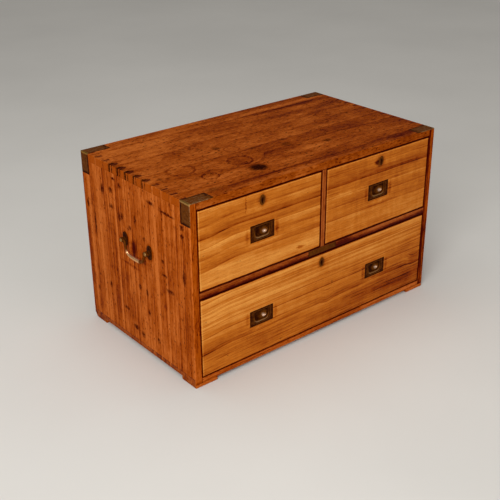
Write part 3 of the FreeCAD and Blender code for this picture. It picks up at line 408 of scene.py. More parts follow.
def camphor(name, axes, palette, seed, rings, fine, drift, ripple, tilt=0, figure=None, lift=0, painted_light_falloff=(0, 0),
            humps=(), streaks=(), glows=(), loops=(), marks=(), edges=(), flecks=0, fleck_size=(14, 6.5),
            gloss=0.045, end_grain=0.35, end_tint="grime", bruise="knot", waxed=True):
    """Camphor wood, sawn, planed and waxed by hand: wide rings, each with a soft light side and a sharp dark side,
    long fibres and short open pores give a satin face with streaks that run along the board.

    axes names the directions along, across and through the board. rings is the spacing of the growth rings or the
    places of their darkest lines across it, fine the spacing of the small ones. drift and ripple push the rings
    about, tilt turns them and humps bend them. figure scales the parts of the pattern, and fall is an even change
    of tone along and across that paints the light falling off across the board. streaks darken the tone, glows
    lighten it, loops are rings of a knot cut through, marks and flecks are bruises, and edges are (direction,
    place, reach, change of tone): a dark edge along a gap paints the shade in that gap, partly dirt, and a light
    edge a few millimetres inside an upper or left arris paints its highlight, partly wear."""
    wood = bpy.context.scene.chest_wood
    material, add = new_material(name)
    real, space = board_space(add, axes, seed)
    place = add("SeparateXYZ", [real], None).outputs
    noise = partial(stretched_noise, add, space)
    bent = noise((11, 6, 9), 3, 0.6)
    ragged, curved = (add("VectorMath", [real, summed(add, [(bent, 2 * sway)], -sway)], operation="ADD")
                      for sway in (6, 13))

    # Place across the rings, pushed about by slow noise, tilted along and through the board and lifted around knots
    slow, quick = noise((420, 160, 160)), noise((90, 22, 40), 3, 0.55)
    slant = 0.35
    layers = summed(add, [(place[1], 1), (place[0], tilt), (place[2], slant), (slow, 2 * drift), (quick, 2 * ripple),
                          (spot_field(add, real, humps), 1)], -drift - ripple)
    if isinstance(rings, tuple):
        counted = ring_count(add, layers, rings)
    else:
        evenly = summed(add, [(layers, 1 / rings)], 0.37 * seed)
        uneven = add("TexNoise", {"W": evenly, "Scale": 0.45, "Detail": 1}, noise_dimensions="1D")
        counted = summed(add, [(evenly, 1), (uneven, 2.6)])
    uneven = add("TexNoise", {"W": layers, "Scale": 0.03, "Detail": 1}, noise_dimensions="1D")
    slope, line, own = growth_rings(add, counted, 0.84)
    _, fine_line, fine_own = growth_rings(add, summed(add, [(layers, 1 / fine), (uneven, 4)]), 0.6)
    broken = add("MapRange", [noise((120, 14, 20)), 0.36, 0.58, 0.15, 1], **EASED)
    line = add("Math", [line, broken], operation="MULTIPLY")
    fine_line = add("Math", [fine_line, summed(add, [(broken, -1)], 1.15)], operation="MULTIPLY")

    # Tone from dark (0) to light (1): rings, long fades, fibres, clouds and mottling. Real fibres and pores are 0.1
    # to 0.3 mm wide, too fine to show, so fibres are drawn 1.7 mm and pores 0.6 mm wide
    parts = {
        "slope": slope, "own": own, "line": line, "fine_line": fine_line, "fine_own": fine_own,
        "fade": noise((260, 24, 30), 3, 0.55), "coarse": noise((130, 5, 5), 3, 0.6),
        "fibre": noise((34, 1.7, 1.7), 4, 0.65), "cloud": noise((130, 60, 60), 4, 0.6),
        "mottle": noise((13, 8, 10), 3, 0.65), "curl": noise((17, 70, 30)),
        "scratch": add("MapRange", [noise((16, 2.6, 4), 2, 0.7), 0.53, 0.68], **EASED),
    }
    weights = {key: FIGURE[key][0] * (figure or {}).get(key, 1) for key in parts}
    centre = 0.5 + lift - sum(weights[key] * FIGURE[key][1] for key in parts)
    # The even change of tone along and across the board below paints the light falling off across it: lighter where
    # more light falls.
    terms = [(parts[key], weights[key]) for key in parts] + [
        (place[0], painted_light_falloff[0]), (place[1], painted_light_falloff[1]), (spot_field(add, ragged, streaks), -1),
        (spot_field(add, ragged, glows), 1), (spot_field(add, curved, loops, hollow=True), -1)]
    worn_edge = noise((28, 28, 28), 4, 0.7)
    # Edge bands: a dark band along a gap around a drawer paints the shade in that gap, partly dirt; a light band a few
    # millimetres inside an upper or left arris paints its highlight, partly wear.
    for number, where, reach, change in edges:
        gap = summed(add, [(worn_edge, -1.2 * reach), (off_plane(add, place[number], where), 1)], 0.6 * reach)
        terms.append((add("MapRange", [gap, 0, reach, 1, 0], **EASED), change))
    dark, mid, light, grime, drunk, bruise = ((*getattr(wood, key), 1) for key in (
        palette + "_dark", palette + "_mid", palette + "_light", "grime", end_tint, bruise))
    # Tone below the dark stop runs to the darkest colour: there the dark edge bands paint the shade of the gaps,
    # partly dirt.
    shade = add("ValToRGB", [summed(add, terms, centre)],
                stops=[(0, grime), (0.14, dark), (0.5, mid), (0.86, light)])

    # End grain drinks the wax and stays darker; pores and bruises are dark
    ends = add("MapRange", [facing(add, axes[0]), 0.7, 0.9, 0, end_grain], **EASED)
    shade = add("Mix", {0: ends, 6: shade, 7: drunk}, 2, data_type="RGBA")
    bruises = add("MapRange", [noise((7, 0.6, 0.6), 1), 0.6, 0.72, 0, 0.35], **EASED)
    shade = add("Mix", {0: bruises, 6: shade, 7: grime}, 2, data_type="RGBA")
    stains = []
    if flecks:
        cell_size = (1 / fleck_size[0], 1 / fleck_size[1], 0.025)
        cells = add("VectorMath", [ragged, cell_size], operation="MULTIPLY")
        cell = add("TexVoronoi", {"Vector": cells, "Scale": 1}, None).outputs
        near = add("MapRange", [cell["Distance"], 0.1, 0.36, 1, 0], **EASED)
        chance = add("SeparateColor", [cell["Color"]])
        chance = summed(add, [(chance, 1), (noise((110, 70, 90)), 1.6)])
        chosen = add("MapRange", [chance, 1.34, 1.46, 0, flecks], **EASED)
        chosen = add("Math", [facing(add, axes[2]), chosen], operation="MULTIPLY")
        stains.append((near, chosen))
    if marks:
        torn = add("MapRange", [noise((7, 4, 5), 2, 0.6), 0.36, 0.56, 0.45, 1], **EASED)
        stains.append((spot_field(add, ragged, marks), torn))
    for pair in stains:
        stain = add("Math", pair, operation="MULTIPLY")
        shade = add("Mix", {0: stain, 6: shade, 7: bruise}, 2, data_type="RGBA")
        bruises = add("Math", [bruises, stain], operation="MAXIMUM")

    # Fibres stand a little proud, pores and bruises lie lower. The wax on top is amber and mirrors little
    relief = summed(add, [(parts["fibre"], 0.35), (parts["coarse"], 0.5), (line, 0.2), (bruises, -1)])
    bump = add("Bump", {"Strength": 0.5, "Distance": 0.3 * MM, "Height": relief})
    planed_roughness = 0.66
    satin = wood.polish_roughness if waxed else planed_roughness
    roughness = summed(add, [(parts["cloud"], 0.24), (parts["fibre"], 0.12), (bruises, 0.2)], satin - 0.18)
    add("OutputMaterial", [add("BsdfPrincipled", {
        "Base Color": shade, "Roughness": roughness, "IOR": 1.48, "Specular IOR Level": gloss,
        "Specular Tint": linear("#E8A058"), "Normal": bump})], None)
    return material


def aged_brass(name, bare="bare", edges=(), mottle=1, worn=0, skin=0.3):
    """Cast or sheet brass, lacquered long ago and worn since: a brown skin with dirt in the hollows, which goes to
    yellow metal where hands and cloths reach, with small soft blotches and fine scratches. The lightest wear also
    paints highlights: on the finger bowls, the grips, the balls of the posts, the flush bails and the bends of the
    straps the brightest parts are wear and a painted highlight together.

    The wear attribute gives that on the fittings made here. On the straps it comes from edges, each made of
    (direction, place) planes from the middle of the chest that meet there, with a reach and an amount."""
    brass = bpy.context.scene.chest_brass
    material, add = new_material(name)
    real = in_millimetres(add)
    blotches = stretched_noise(add, real, (9, 9, 9), 4, 0.65)
    grains = stretched_noise(add, real, (1.6, 1.6, 1.6), 3, 0.6)
    scratches = stretched_noise(add, real, (0.5, 7, 5))  # Real ones are finer and would not show
    if edges:
        mirrored = add("VectorMath", [real], operation="ABSOLUTE")
        place = add("SeparateXYZ", [mirrored], None).outputs
        wear = skin
        for planes, reach, amount in edges:
            gap = 0
            for number, where in planes:
                gap = add("Math", [off_plane(add, place[number], where), gap], operation="MAXIMUM")
            near = add("MapRange", [gap, 0.2 * reach, reach, amount, 0], **EASED)
            wear = summed(add, [(near, 1)], wear)
    else:
        wear = add("Attribute", output="Fac", attribute_name="wear")
    wear = summed(add, [(wear, 1), (blotches, 0.5 * mottle), (grains, 0.2 * mottle)], -0.35 * mottle + worn)
    dark, patina, dish, rubbed_and_highlight = ((*getattr(brass, key), 1) for key in ("patina_dark", "patina", "dish", bare))
    shade = add("ValToRGB", [wear], stops=[
        (0, dark), (0.32, patina), (0.46, patina), (0.68, dish), (0.95, rubbed_and_highlight)])
    relief = summed(add, [(blotches, 0.5), (grains, 0.3), (scratches, 0.25)])
    bump = add("Bump", {"Strength": 0.3, "Distance": 0.2 * MM, "Height": relief})
    roughness = summed(add, [(wear, -0.24), (scratches, 0.1), (blotches, 0.12)], 0.44)
    metal = add("MapRange", [wear, 0.34, 0.75, 0.1, 0.95], **EASED)
    add("OutputMaterial", [add("BsdfPrincipled", {
        "Base Color": shade, "Roughness": roughness, "Metallic": metal, "Specular IOR Level": 0.03,
        "Specular Tint": linear("#C8924A"), "Normal": bump})], None)
    return material


def forged_iron(name):
    """Cut iron nails gone dull brown with rust: a dark grey skin with brown blotches and no shine."""
    material, add = new_material(name)
    rust = stretched_noise(add, in_millimetres(add), (2.5, 2.5, 2.5), 4, 0.7)
    shade = add("ValToRGB", [rust], stops=[(0.35, linear("#2A2725")), (0.6, linear("#4B2E1E"))])
    bump = add("Bump", {"Strength": 0.5, "Distance": 0.2 * MM, "Height": rust})
    roughness = summed(add, [(rust, 0.4)], 0.4)
    add("OutputMaterial", [add("BsdfPrincipled", {
        "Base Color": shade, "Roughness": roughness, "Metallic": 0.6, "Normal": bump})], None)
    return material


def dress(material, *nodes):
    """Gives the solids of the chest a material."""
    for name in nodes:
        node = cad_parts.get(name)
        if node is None:
            raise RuntimeError("The frame has no solid named " + name)
        for slot in node.material_slots:
            slot.material = material


def dress_boards(boards):
    """Gives the boards of a table their camphor wood."""
    for nodes, board in boards.items():
        dress(camphor(**board), *nodes.split())


# Boards: the settings of the wood for each board, or for several that share them. Places and sizes are millimetres,
# and spots are (along, across, half length, half width, strength)

DOVETAILS = [
    *((-451, y, 16, 13, 1.7) for y in (103, 63, 23)), (-451, -17, 14, 12, 1.5), (-451, -57, 14, 12, 1.4),
    *((-453, y, 9, 6, 0.5) for y in (-178, -98, 143)), (-453, -138, 9, 6, 0.55), (-453, 185, 9, 6, 0.45),
    *((455, y, 7, 6, 0.6) for y in (143, 103, 63)), *((455, y, 7, 6, 0.5) for y in (23, -17))]
SIDE = dict(
    axes="ZYX", palette="side", ripple=3, flecks=0.85, gloss=0.01, end_grain=0.85, bruise="grime",
    figure=dict(slope=0.9, own=1.3, fine_line=1.6, fine_own=1.5, fade=1.2, coarse=1.5, cloud=0.8, mottle=0.8,
                scratch=0.8, curl=0.4))
SIDE_EDGES = [(0, 11, 12, -0.3), (1, 263, 8, -0.2), (1, -263, 1.5, -0.1)]
CARCASS_BOARDS = {
    "top_board": dict(
        name="camphor_top_waxed", axes="XYZ", palette="top", seed=1, rings=34, fine=9, drift=30, ripple=7, lift=-0.02,
        # The even change of tone along and across the top is painted light: darker to the right, away from the key
        # lamp.
        painted_light_falloff=(-0.00018, 0.0001), flecks=0.8, fleck_size=(16, 8), gloss=0.008, end_grain=0.8, end_tint="side_mid",
        figure=dict(
            slope=0.6, own=0.8, line=0.5, fine_line=0.6, fine_own=0.6, fade=0.75, coarse=0.6, fibre=1.1, cloud=1.2,
            mottle=2, scratch=1.5),
        humps=[(-172, -125, 90, 60, 46), (-300, -149, 70, 42, 30), (120, 60, 160, 60, 16)],
        streaks=[
            (-40, -87, 140, 34, 0.2), (260, -77, 150, 28, 0.16), (240, 193, 170, 14, 0.22),
            (-170, -227, 190, 6, 0.36), (-163, -172, 34, 24, 0.4), (-375, -250, 60, 12, 0.2),
            (355, -240, 90, 12, 0.2), (-380, -60, 60, 60, 0.12), (-175, -112, 30, 28, 0.16)],
        glows=[
            (-300, 170, 200, 80, 0.14), (270, 222, 180, 14, 0.25), (65, -140, 60, 14, 0.14),
            (-380, -20, 60, 60, 0.12), (-100, -252, 400, 8, 0.2)],
        loops=[
            (-167, -100, 36, 32, 0.35), (-302, -143, 24, 22, 0.5), (-127, -12, 24, 20, 0.3), (247, 10, 22, 20, 0.3),
            (300, 60, 26, 22, 0.25), (-340, -60, 40, 34, 0.3), (-247, 66, 30, 12, 0.3)],
        marks=[
            (-163, -175, 27, 24, 1.6), (-157, 20, 14, 13, 0.7), (-247, 66, 20, 5, 0.4), (-97, 98, 7, 5, 0.5),
            (-202, 145, 7, 6, 0.45), (-202, 48, 7, 6, 0.5), (135, -132, 18, 12, 0.75), (20, -79, 20, 15, 0.6),
            (38, -40, 13, 8, 0.6), (73, -34, 9, 7, 0.5), (207, -27, 6, 5, 0.5), (370, 25, 10, 6, 0.5),
            (305, 48, 9, 5, 0.5), (415, -102, 18, 8, 0.5), (-320, 231, 5, 4, 0.5), (122, 231, 12, 5, 0.5),
            (390, -227, 20, 5, 0.5), (-355, -222, 26, 14, 0.55), (-77, -44, 14, 11, 0.5), (-420, -77, 10, 8, 0.6),
            (-395, -85, 8, 7, 0.5), *DOVETAILS],
        # The dark band at the underside of the top paints the shade of the gap above the drawers, partly dirt.
        edges=[(1, 263, 6, -0.1), (2, 520, 3, -1)]),
    "left_side": dict(
        **SIDE, name="camphor_left_side_waxed", seed=2, rings=24, fine=6.5, drift=9, lift=-0.14,
        # The even change of tone is painted light: lighter higher up and towards the front.
        painted_light_falloff=(0.00015, -0.0001),
        streaks=[
            (270, 248, 300, 9, 0.25), (270, 103, 300, 8, 0.22), (270, -137, 300, 7, 0.2), (324, 6, 30, 18, 0.6),
            (305, -11, 60, 70, 0.12), (265, 23, 5, 60, 0.3), (336, 49, 30, 20, 0.45), (336, -71, 30, 20, 0.45),
            (300, -30, 10, 60, 0.25)],
        glows=[
            (270, 178, 320, 8, 0.28), (270, 93, 320, 6, 0.28), (270, -104, 320, 8, 0.28), (420, 30, 130, 26, 0.14),
            (270, 232, 320, 6, 0.24), (50, 0, 40, 200, 0.12), (210, 20, 90, 50, 0.12)],
        marks=[
            (504, 93, 5.1, 11.3, 1.12), (492, 63, 8.8, 7.6, 1.12), (467, 111, 8.8, 10.1, 1.12),
            (457, 158, 17.7, 10.1, 1.12), (417, 113, 8.8, 10.1, 1.07), (397, 73, 15.2, 8.8, 1.12),
            (404, 60, 12.7, 7.6, 1.07), (414, -7, 17.7, 5.1, 1.12), (382, 23, 7.6, 7.6, 1), (372, -47, 7.6, 7.6, 1),
            (337, 210, 50.6, 5.1, 1.07), (387, 243, 15.2, 6.4, 1), (490, -87, 6.4, 17.7, 1.12),
            (482, -162, 5.1, 38, 1.12), (467, -227, 8.8, 10.1, 1.12), (442, -227, 8.8, 8.8, 1.12),
            (337, -132, 7.6, 6.4, 1), (325, -229, 22.8, 8.8, 1.12), (297, -137, 5.1, 15.2, 1),
            (257, -162, 7.6, 18.9, 1), (212, -12, 11.3, 7.6, 1), (207, -47, 12.7, 6.4, 1), (147, -52, 10.1, 6.4, 1),
            (157, 148, 12.7, 7.6, 1.07), (117, 223, 8.8, 6.4, 0.91), (112, 68, 6.4, 17.7, 1), (67, 23, 10.1, 15.2, 1),
            (57, -12, 10.1, 10.1, 1), (72, -92, 10.1, 7.6, 1)],
        # The dark band along the inner arris of the front edge paints the shade of the gap beside the left drawer,
        # partly dirt; the light band at the outer corner paints the highlight of the corner arris, partly wear.
        edges=[(2, -438, 3.6, -0.7), (2, -459, 2, 0.3), *SIDE_EDGES]),
    "right_side": dict(
        **SIDE, name="camphor_right_side_waxed", seed=5, rings=26, fine=7, drift=10, lift=-0.06,
        streaks=[(324, 6, 26, 17, 0.35), (305, -11, 60, 70, 0.12)],
        # The dark band along the inner arris of the front edge paints the shade of the gap beside the right drawer,
        # partly dirt.
        edges=[(2, 438, 3, -0.5), *SIDE_EDGES]),
    "middle_rail": dict(
        name="camphor_rail_waxed", axes="XZY", palette="frame", seed=3, rings=22, fine=6, drift=5, ripple=2,
        lift=-0.04,
        figure=dict(slope=0.5, line=0.5, own=0.5),
        streaks=[(82, 277, 46, 14, 0.5)],
        # Dark bands along the top and bottom of the rail paint the shade of the gaps above and below it, partly dirt;
        # the light band just below the top arris paints its highlight, partly wear.
        edges=[(1, 283, 1.8, 0.3), (1, 287.5, 2.4, -0.8), (1, 267.5, 9, -0.7)]),
    "centre_upright": dict(
        name="camphor_upright_waxed", axes="ZXY", palette="frame", seed=4, rings=12, fine=5, drift=3, ripple=1.5,
        lift=0.07,
        figure=dict(slope=0.6, line=0.6),
        # Dark bands along both sides paint the shade of the gaps beside the drawers, partly dirt; the light band just
        # inside the left arris paints its highlight, partly wear.
        edges=[(1, -4.5, 1.5, 0.25), (1, -9, 3, -0.8), (1, 9, 4, -0.9)]),
    "bottom_board foot_pads": dict(
        name="camphor_base_waxed", axes="XYZ", palette="side", seed=6, rings=24, fine=6, drift=8, ripple=2,
        end_grain=0.3,
        figure=dict(slope=0.6, line=0.6),
        # The dark band along the top of the front edge paints the shade of the gap under the long drawer, partly dirt.
        edges=[(2, 27, 2.5, -0.5)]),
}
FRONT = dict(axes="XZY", palette="front", fine=8, drift=4)
FRONT_BOARDS = {
    "left_drawer_front": dict(
        **FRONT, name="camphor_left_front_waxed", seed=7, rings=(560, 520, 482, 445, 390, 354, 327, 297, 262),
        ripple=1, lift=-0.03,
        figure=dict(slope=1.1, line=0.32, mottle=0.5, cloud=0.6, coarse=0.7, fibre=0.6, fine_line=0.8, scratch=0.1),
        humps=[(-470, 400, 130, 4000, 14)],
        streaks=[
            (-280, 490, 2, 30, 0.28), (-85, 312, 18, 5, 0.45), (-223.5, 491, 18, 22, 0.22), (-223, 400, 54, 34, 0.14),
            (-172, 400, 7, 26, 0.25), (-276, 400, 7, 26, 0.2)],
        glows=[(-215, 367, 70, 6, 0.2), (-330, 340, 120, 8, 0.12), (-380, 412, 70, 10, 0.12)],
        marks=[
            (-223.5, 490, 5, 8, 1.8), (-223.5, 490, 12, 17, 0.9), (-420, 390, 3, 2.5, 0.5), (-300, 336, 4, 2, 0.5),
            (-60, 470, 3, 2, 0.5)],
        # Light bands just inside the left and top arrises paint their highlights, partly wear; dark bands along all
        # four sides paint the shade of the gaps around the drawer, partly dirt.
        edges=[
            (0, -432.4, 2, 0.3), (1, 513, 2, 0.25), (1, 289.5, 3, -0.6), (0, -10.5, 3, -0.7), (0, -436.5, 2.4, -0.8),
            (1, 517, 2.4, -0.8)]),
    "right_drawer_front": dict(
        **FRONT, name="camphor_right_front_waxed", seed=9, rings=(575, 530, 480, 435, 398, 362, 330, 300, 262),
        # Its tone sits lower than the left front's, partly as painted shade: the light is dimmer on the right.
        ripple=1, lift=-0.08,
        figure=dict(
            slope=0.8, line=0.4, mottle=0.6, cloud=0.6, fade=0.6, coarse=0.6, fibre=0.7, fine_line=0.7, scratch=0.1,
            curl=1.8),
        streaks=[
            (230, 456, 320, 20, 0.1), (212, 490, 12, 7, 0.45), (230.5, 491, 18, 22, 0.2), (223, 400, 54, 34, 0.12),
            (275, 400, 7, 26, 0.2), (172, 400, 7, 26, 0.2)],
        glows=[(100, 426, 110, 6, 0.2), (225, 366, 80, 6, 0.18), (120, 345, 110, 10, 0.12)],
        marks=[(223.5, 490, 5, 8, 1.8), (223.5, 490, 12, 17, 0.9)],
        # Light bands just inside the left and top arrises paint their highlights, partly wear; dark bands along all
        # four sides paint the shade of the gaps around the drawer, partly dirt.
        edges=[
            (0, 436.5, 3, -0.6), (1, 513, 2, 0.2), (1, 289.5, 3, -0.6), (0, 14.6, 2, 0.25), (0, 10.5, 2.4, -0.8),
            (1, 517, 2.4, -0.8)]),
    "long_drawer_front": dict(
        **FRONT, name="camphor_long_front_waxed", seed=11,
        rings=(292, 240, 187, 165, 147, 139, 130, 117, 97, 87, 60, 10), ripple=0.9, tilt=-0.006, lift=-0.31,
        # The even change of tone is painted light: lighter to the upper left, towards the key lamp, darker to the
        # lower right.
        painted_light_falloff=(-0.0002, 0.0016),
        figure=dict(
            slope=0.8, line=0.6, mottle=0.5, cloud=0.6, fade=0.8, coarse=0.8, fibre=0.7, fine_line=1.3, fine_own=1.4,
            scratch=0.1),
        humps=[(28, 112, 24, 34, 7), (410, 122, 38, 26, 12), (-480, 150, 120, 4000, 8)],
        streaks=[
            (410, 122, 34, 26, 0.2), (300, 90, 160, 40, 0.1), (-330, 100, 150, 46, 0.14), (0, 236.5, 18, 22, 0.2),
            *((x, 142, 54, 34, 0.14) for x in (-227, 227)), *((x, 142, 7, 24, 0.2) for x in (-278, -176, 176, 278))],
        glows=[(-225, 108, 70, 5, 0.16), (225, 107, 70, 5, 0.16), (-150, 205, 200, 10, 0.08)],
        marks=[
            (0, 236, 5, 8, 1.8), (0, 236, 12, 17, 0.9), (-420, 192, 4, 2.5, 0.6), (-350, 62, 4, 2.5, 0.6),
            (-155, 42, 7, 2.5, 0.5), (45, 157, 4, 7, 0.5)],
        # Light bands just inside the left and top arrises paint their highlights, partly wear; dark bands along all
        # four sides paint the shade of the gaps around the drawer, partly dirt.
        edges=[
            (0, -432.4, 2, 0.28), (1, 258, 2, 0.15), (1, 29, 3, -0.5), (0, 436.5, 3, -0.5), (0, -436.5, 2.4, -0.8),
            (1, 262.5, 2.6, -0.9)]),
}
INNER = dict(palette="inner", rings=26, fine=7, drift=10, ripple=2.5, waxed=False)
INNER_BOARDS = {
    "back_boards left_drawer_back right_drawer_back long_drawer_back": dict(
        **INNER, name="camphor_inner_along_width", axes="XZY", seed=13),
    "dust_board drawer_stops left_drawer_bottom right_drawer_bottom long_drawer_bottom": dict(
        **INNER, name="camphor_inner_flat", axes="XYZ", seed=14),
    "kickers centre_guide long_drawer_muntin left_drawer_left_side left_drawer_right_side right_drawer_left_side "
    "right_drawer_right_side long_drawer_left_side long_drawer_right_side": dict(
        **INNER, name="camphor_inner_along_depth", axes="YZX", seed=15),
}


# Operators

class CHEST_OT_top_and_sides(bpy.types.Operator):
    """Waxed camphor wood on the boards of the carcass, with the knots, loops and bruises of each board."""
    bl_idname = "chest.top_and_sides"
    bl_label = "Top and sides"

    def execute(self, context):
        dress_boards(CARCASS_BOARDS)
        return {"FINISHED"}


class CHEST_OT_drawer_fronts(bpy.types.Operator):
    """Waxed camphor wood on the three drawer fronts, with the ring lines where each board has them."""
    bl_idname = "chest.drawer_fronts"
    bl_label = "Drawer fronts"

    def execute(self, context):
        dress_boards(FRONT_BOARDS)
        return {"FINISHED"}


class CHEST_OT_inner_boards(bpy.types.Operator):
    """Plain planed camphor wood, never waxed, on everything behind the fronts."""
    bl_idname = "chest.inner_boards"
    bl_label = "Inner boards"

    def execute(self, context):
        dress_boards(INNER_BOARDS)
        return {"FINISHED"}


class CHEST_OT_straps_and_locks(bpy.types.Operator):
    """Aged brass on the corner straps, the rail strap and the locks, and iron on the nails of the back."""
    bl_idname = "chest.straps_and_locks"
    bl_label = "Straps and locks"

    def execute(self, context):
        x, y, z = SIDE_X / MM, REAR_Y / MM, TOP_Z / MM
        # The bright band along the bend of each strap is wear and a painted highlight together.
        dress(aged_brass("aged_brass_straps", mottle=2.4, worn=0.03, edges=[
            ([(0, x), (2, z)], 7, 1.1), ([(1, y)], 2, 0.25), ([(2, z)], 2, 0.14), ([(0, x - 76)], 20, -0.4),
            ([(2, z - 64)], 10, -0.4), ([(1, y - 40)], 9, -0.4)]),
            *(end + side + "_corner_strap" for end in ("front", "rear") for side in ("_left", "_right")))
        dress(aged_brass("aged_brass_rail_strap", worn=-0.08, edges=[([(0, 54)], 3, -0.2), ([(2, 285.5)], 1.5, 0.2)]),
              "rail_strap")
        dress(aged_brass("aged_brass_locks", skin=0.45, edges=[([(1, 252)], 1, 0.2)]),
              *(name + part for name in DRAWERS for part in ("_lock_case", "_lock_bolt")))
        dress(forged_iron("forged_iron_nails"), "back_board_nails")
        return {"FINISHED"}


class CHEST_OT_handle_plates(bpy.types.Operator):
    """Flush plates with a recess for the bail and a finger bowl.

    Each is a stack of rounded rectangles: out of the middle of the bowl, whose depth falls as the root of
    1 - share^2, over the ledge, up the wall of the recess, across the face and round its edge, back along the rear
    of the plate and down the cup to its middle.
    """
    bl_idname = "chest.handle_plates"
    bl_label = "Handle plates"

    def execute(self, context):
        brass = context.scene.chest_brass
        material = aged_brass("aged_brass_plates", bare="bowl", mottle=1.4, worn=-0.13)
        bar, ledge, thickness = brass.bail_bar, brass.recess_depth, brass.plate_thickness
        rise, rim, back = bar / 2, 0.45 * MM, brass.bowl_depth + brass.cup_wall
        recess = np.array([brass.recess_width, brass.recess_height, brass.recess_lower, brass.recess_upper])
        bowl = np.array([brass.recess_width - 2 * bar, brass.recess_height - bar, brass.bowl_lower, brass.bowl_upper])
        outset, inset = np.array([2, 2, 1, 1]), np.array([2, 2, 0, 0]) * MM
        cup = recess + brass.cup_wall * outset
        share = np.array([0.04, 0.2, 0.36, 0.5, 0.62, 0.72, 0.8, 0.87, 0.92, 0.96, 0.985, 1])
        bowl_depth = ledge + (brass.bowl_depth - ledge) * np.sqrt(1 - share ** 2)
        for label, body in HANDLES.items():
            node = label + "_handle_plate"
            low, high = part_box(node)
            size = np.array([high.x - low.x, high.z - low.z, 1.5 * MM, 1.5 * MM])
            # Width, height and corner radii, then the shift upwards, the depth and the wear
            stack = [(bowl * s, rise, depth, 0.16) for s, depth in zip(share, bowl_depth)] + [
                (bowl + 0.35 * MM * outset, rise, ledge, 0.45),
                (bowl + 1.2 * MM * outset, rise * 0.8, ledge, -0.2),
                (recess - 0.3 * MM * np.array([2, 2, 1, 0]), 0, ledge, -0.2),
                (recess, 0, ledge - 0.3 * MM, -0.2),
                (recess, 0, ledge / 2, -0.1),
                (recess, 0, rim, 0.2),
                (recess + 0.4 * rim * outset, 0, 0.2 * rim, 0.65),
                (recess + rim * outset, 0, 0, 0.5),
                (recess + 1.1 * MM * outset, 0, 0, 0.28),
                (recess + 2.2 * MM * outset, 0, 0, 0.26),
                (size - 3 * inset, 0, 0, 0.12),
                (size - 1.4 * inset, 0, 0, -0.08),
                (size - 0.7 * inset, 0, 0, 0.05),
                (size - 0.2 * inset, 0, 0.25 * MM, 0.1),
                (size, 0, 0.7 * MM, 0.05),
                (size, 0, thickness, 0),
                (cup, 0, thickness, 0.2),
                (cup, 0, back - MM, 0.2),
                (cup - MM * outset, 0, back, 0.2),
                (cup * 0.06, 0, back, 0.2)]
            sizes, shift, depth, wear = (np.array(values) for values in zip(*stack))
            x, z = np.moveaxis(rounded_outlines(*sizes.T, arc=12, side=8), -1, 0)
            depth, wear = depth[:, None] + 0 * x, wear[:, None] + 0 * x
            # A soft spot low on the right of each bowl is lighter: a painted highlight of the lamp, partly polish from
            # fingers.
            rubbed_and_highlight = np.exp(-((x - 16 * MM) ** 2 + 1.6 * (z + 9 * MM) ** 2) / (11 * MM) ** 2)
            wear[:len(share)] += (0.84 * rubbed_and_highlight * (depth > ledge + 0.2 * MM))[:len(share)]
            rings = np.stack([x, depth, z + shift[:, None]], -1) + face_middle(node)
            make_piece(label + "_plate", [closed_shell(rings, wear)], material, body, node, 28)
        return {"FINISHED"}


class CHEST_OT_flush_bails(bpy.types.Operator):
    """Stirrup bails of the drawers.

    A flattened bar follows a U: two straight arms joined by quarter circles to a straight middle. Each arm ends in a
    turned knuckle with its pin.
    """
    bl_idname = "chest.flush_bails"
    bl_label = "Flush bails"

    def execute(self, context):
        brass = context.scene.chest_brass
        material = aged_brass("aged_brass_bails")
        knuckle, inset = brass.bail_thickness / 2, brass.bail_gap + brass.bail_bar / 2
        half, turn = brass.recess_width / 2 - inset, brass.recess_lower - inset
        foot, head = inset - brass.recess_height / 2, brass.recess_height / 2 - brass.bail_gap - knuckle
        angle = np.linspace(0, math.pi / 2, 14)
        x = np.concatenate([np.full(8, half), half - turn + turn * np.cos(angle)])
        z = np.concatenate([np.linspace(head - 0.3 * MM, foot + turn, 9)[:-1], foot + turn - turn * np.sin(angle)])
        middle = np.linspace(half - turn, turn - half, 12)[1:-1]
        line = np.stack([np.concatenate([x, middle, -x[::-1]]), np.zeros(2 * len(x) + len(middle)),
                         np.concatenate([z, np.full(len(middle), foot), z[::-1]])], -1)
        rings = swept_rings(line, (0, 1, 0), brass.bail_bar / 2, knuckle, 20, 2.8)
        low_part = np.clip((head - line[:, 2]) / (head - foot), 0, 1)[:, None]
        front = np.clip(-rings[..., 1] / knuckle, 0, 1)
        # The front of the lower bar is brightest: wear and a painted highlight together.
        wear = 0.05 + 0.12 * low_part + 0.6 * front ** 4 * low_part ** 2
        near, edge = half - brass.bail_bar / 2, half + brass.bail_bar / 2
        pin = edge + brass.bail_gap + brass.trunnion_length
        profile = [(near, 0.1 * MM), (near, 0.88 * knuckle), (near + 0.3 * MM, knuckle), (edge - 0.3 * MM, knuckle),
                   (edge, 0.88 * knuckle), (edge, brass.trunnion_radius), (pin, brass.trunnion_radius),
                   (pin, 0.1 * MM)]
        for label in HANDLES:
            centre = face_middle(label + "_handle_plate") + [0, brass.recess_depth / 2, 0]
            shells = [closed_shell(rings + centre, wear)]
            for side in (-1, 1):
                shells.append(closed_shell(turned_rings(profile, 24) * [side, 1, 1] + [0, 0, head] + centre, 0.12))
            make_piece(label + "_bail", shells, material, label + "_bail", label + "_handle_bail", 40)
        return {"FINISHED"}


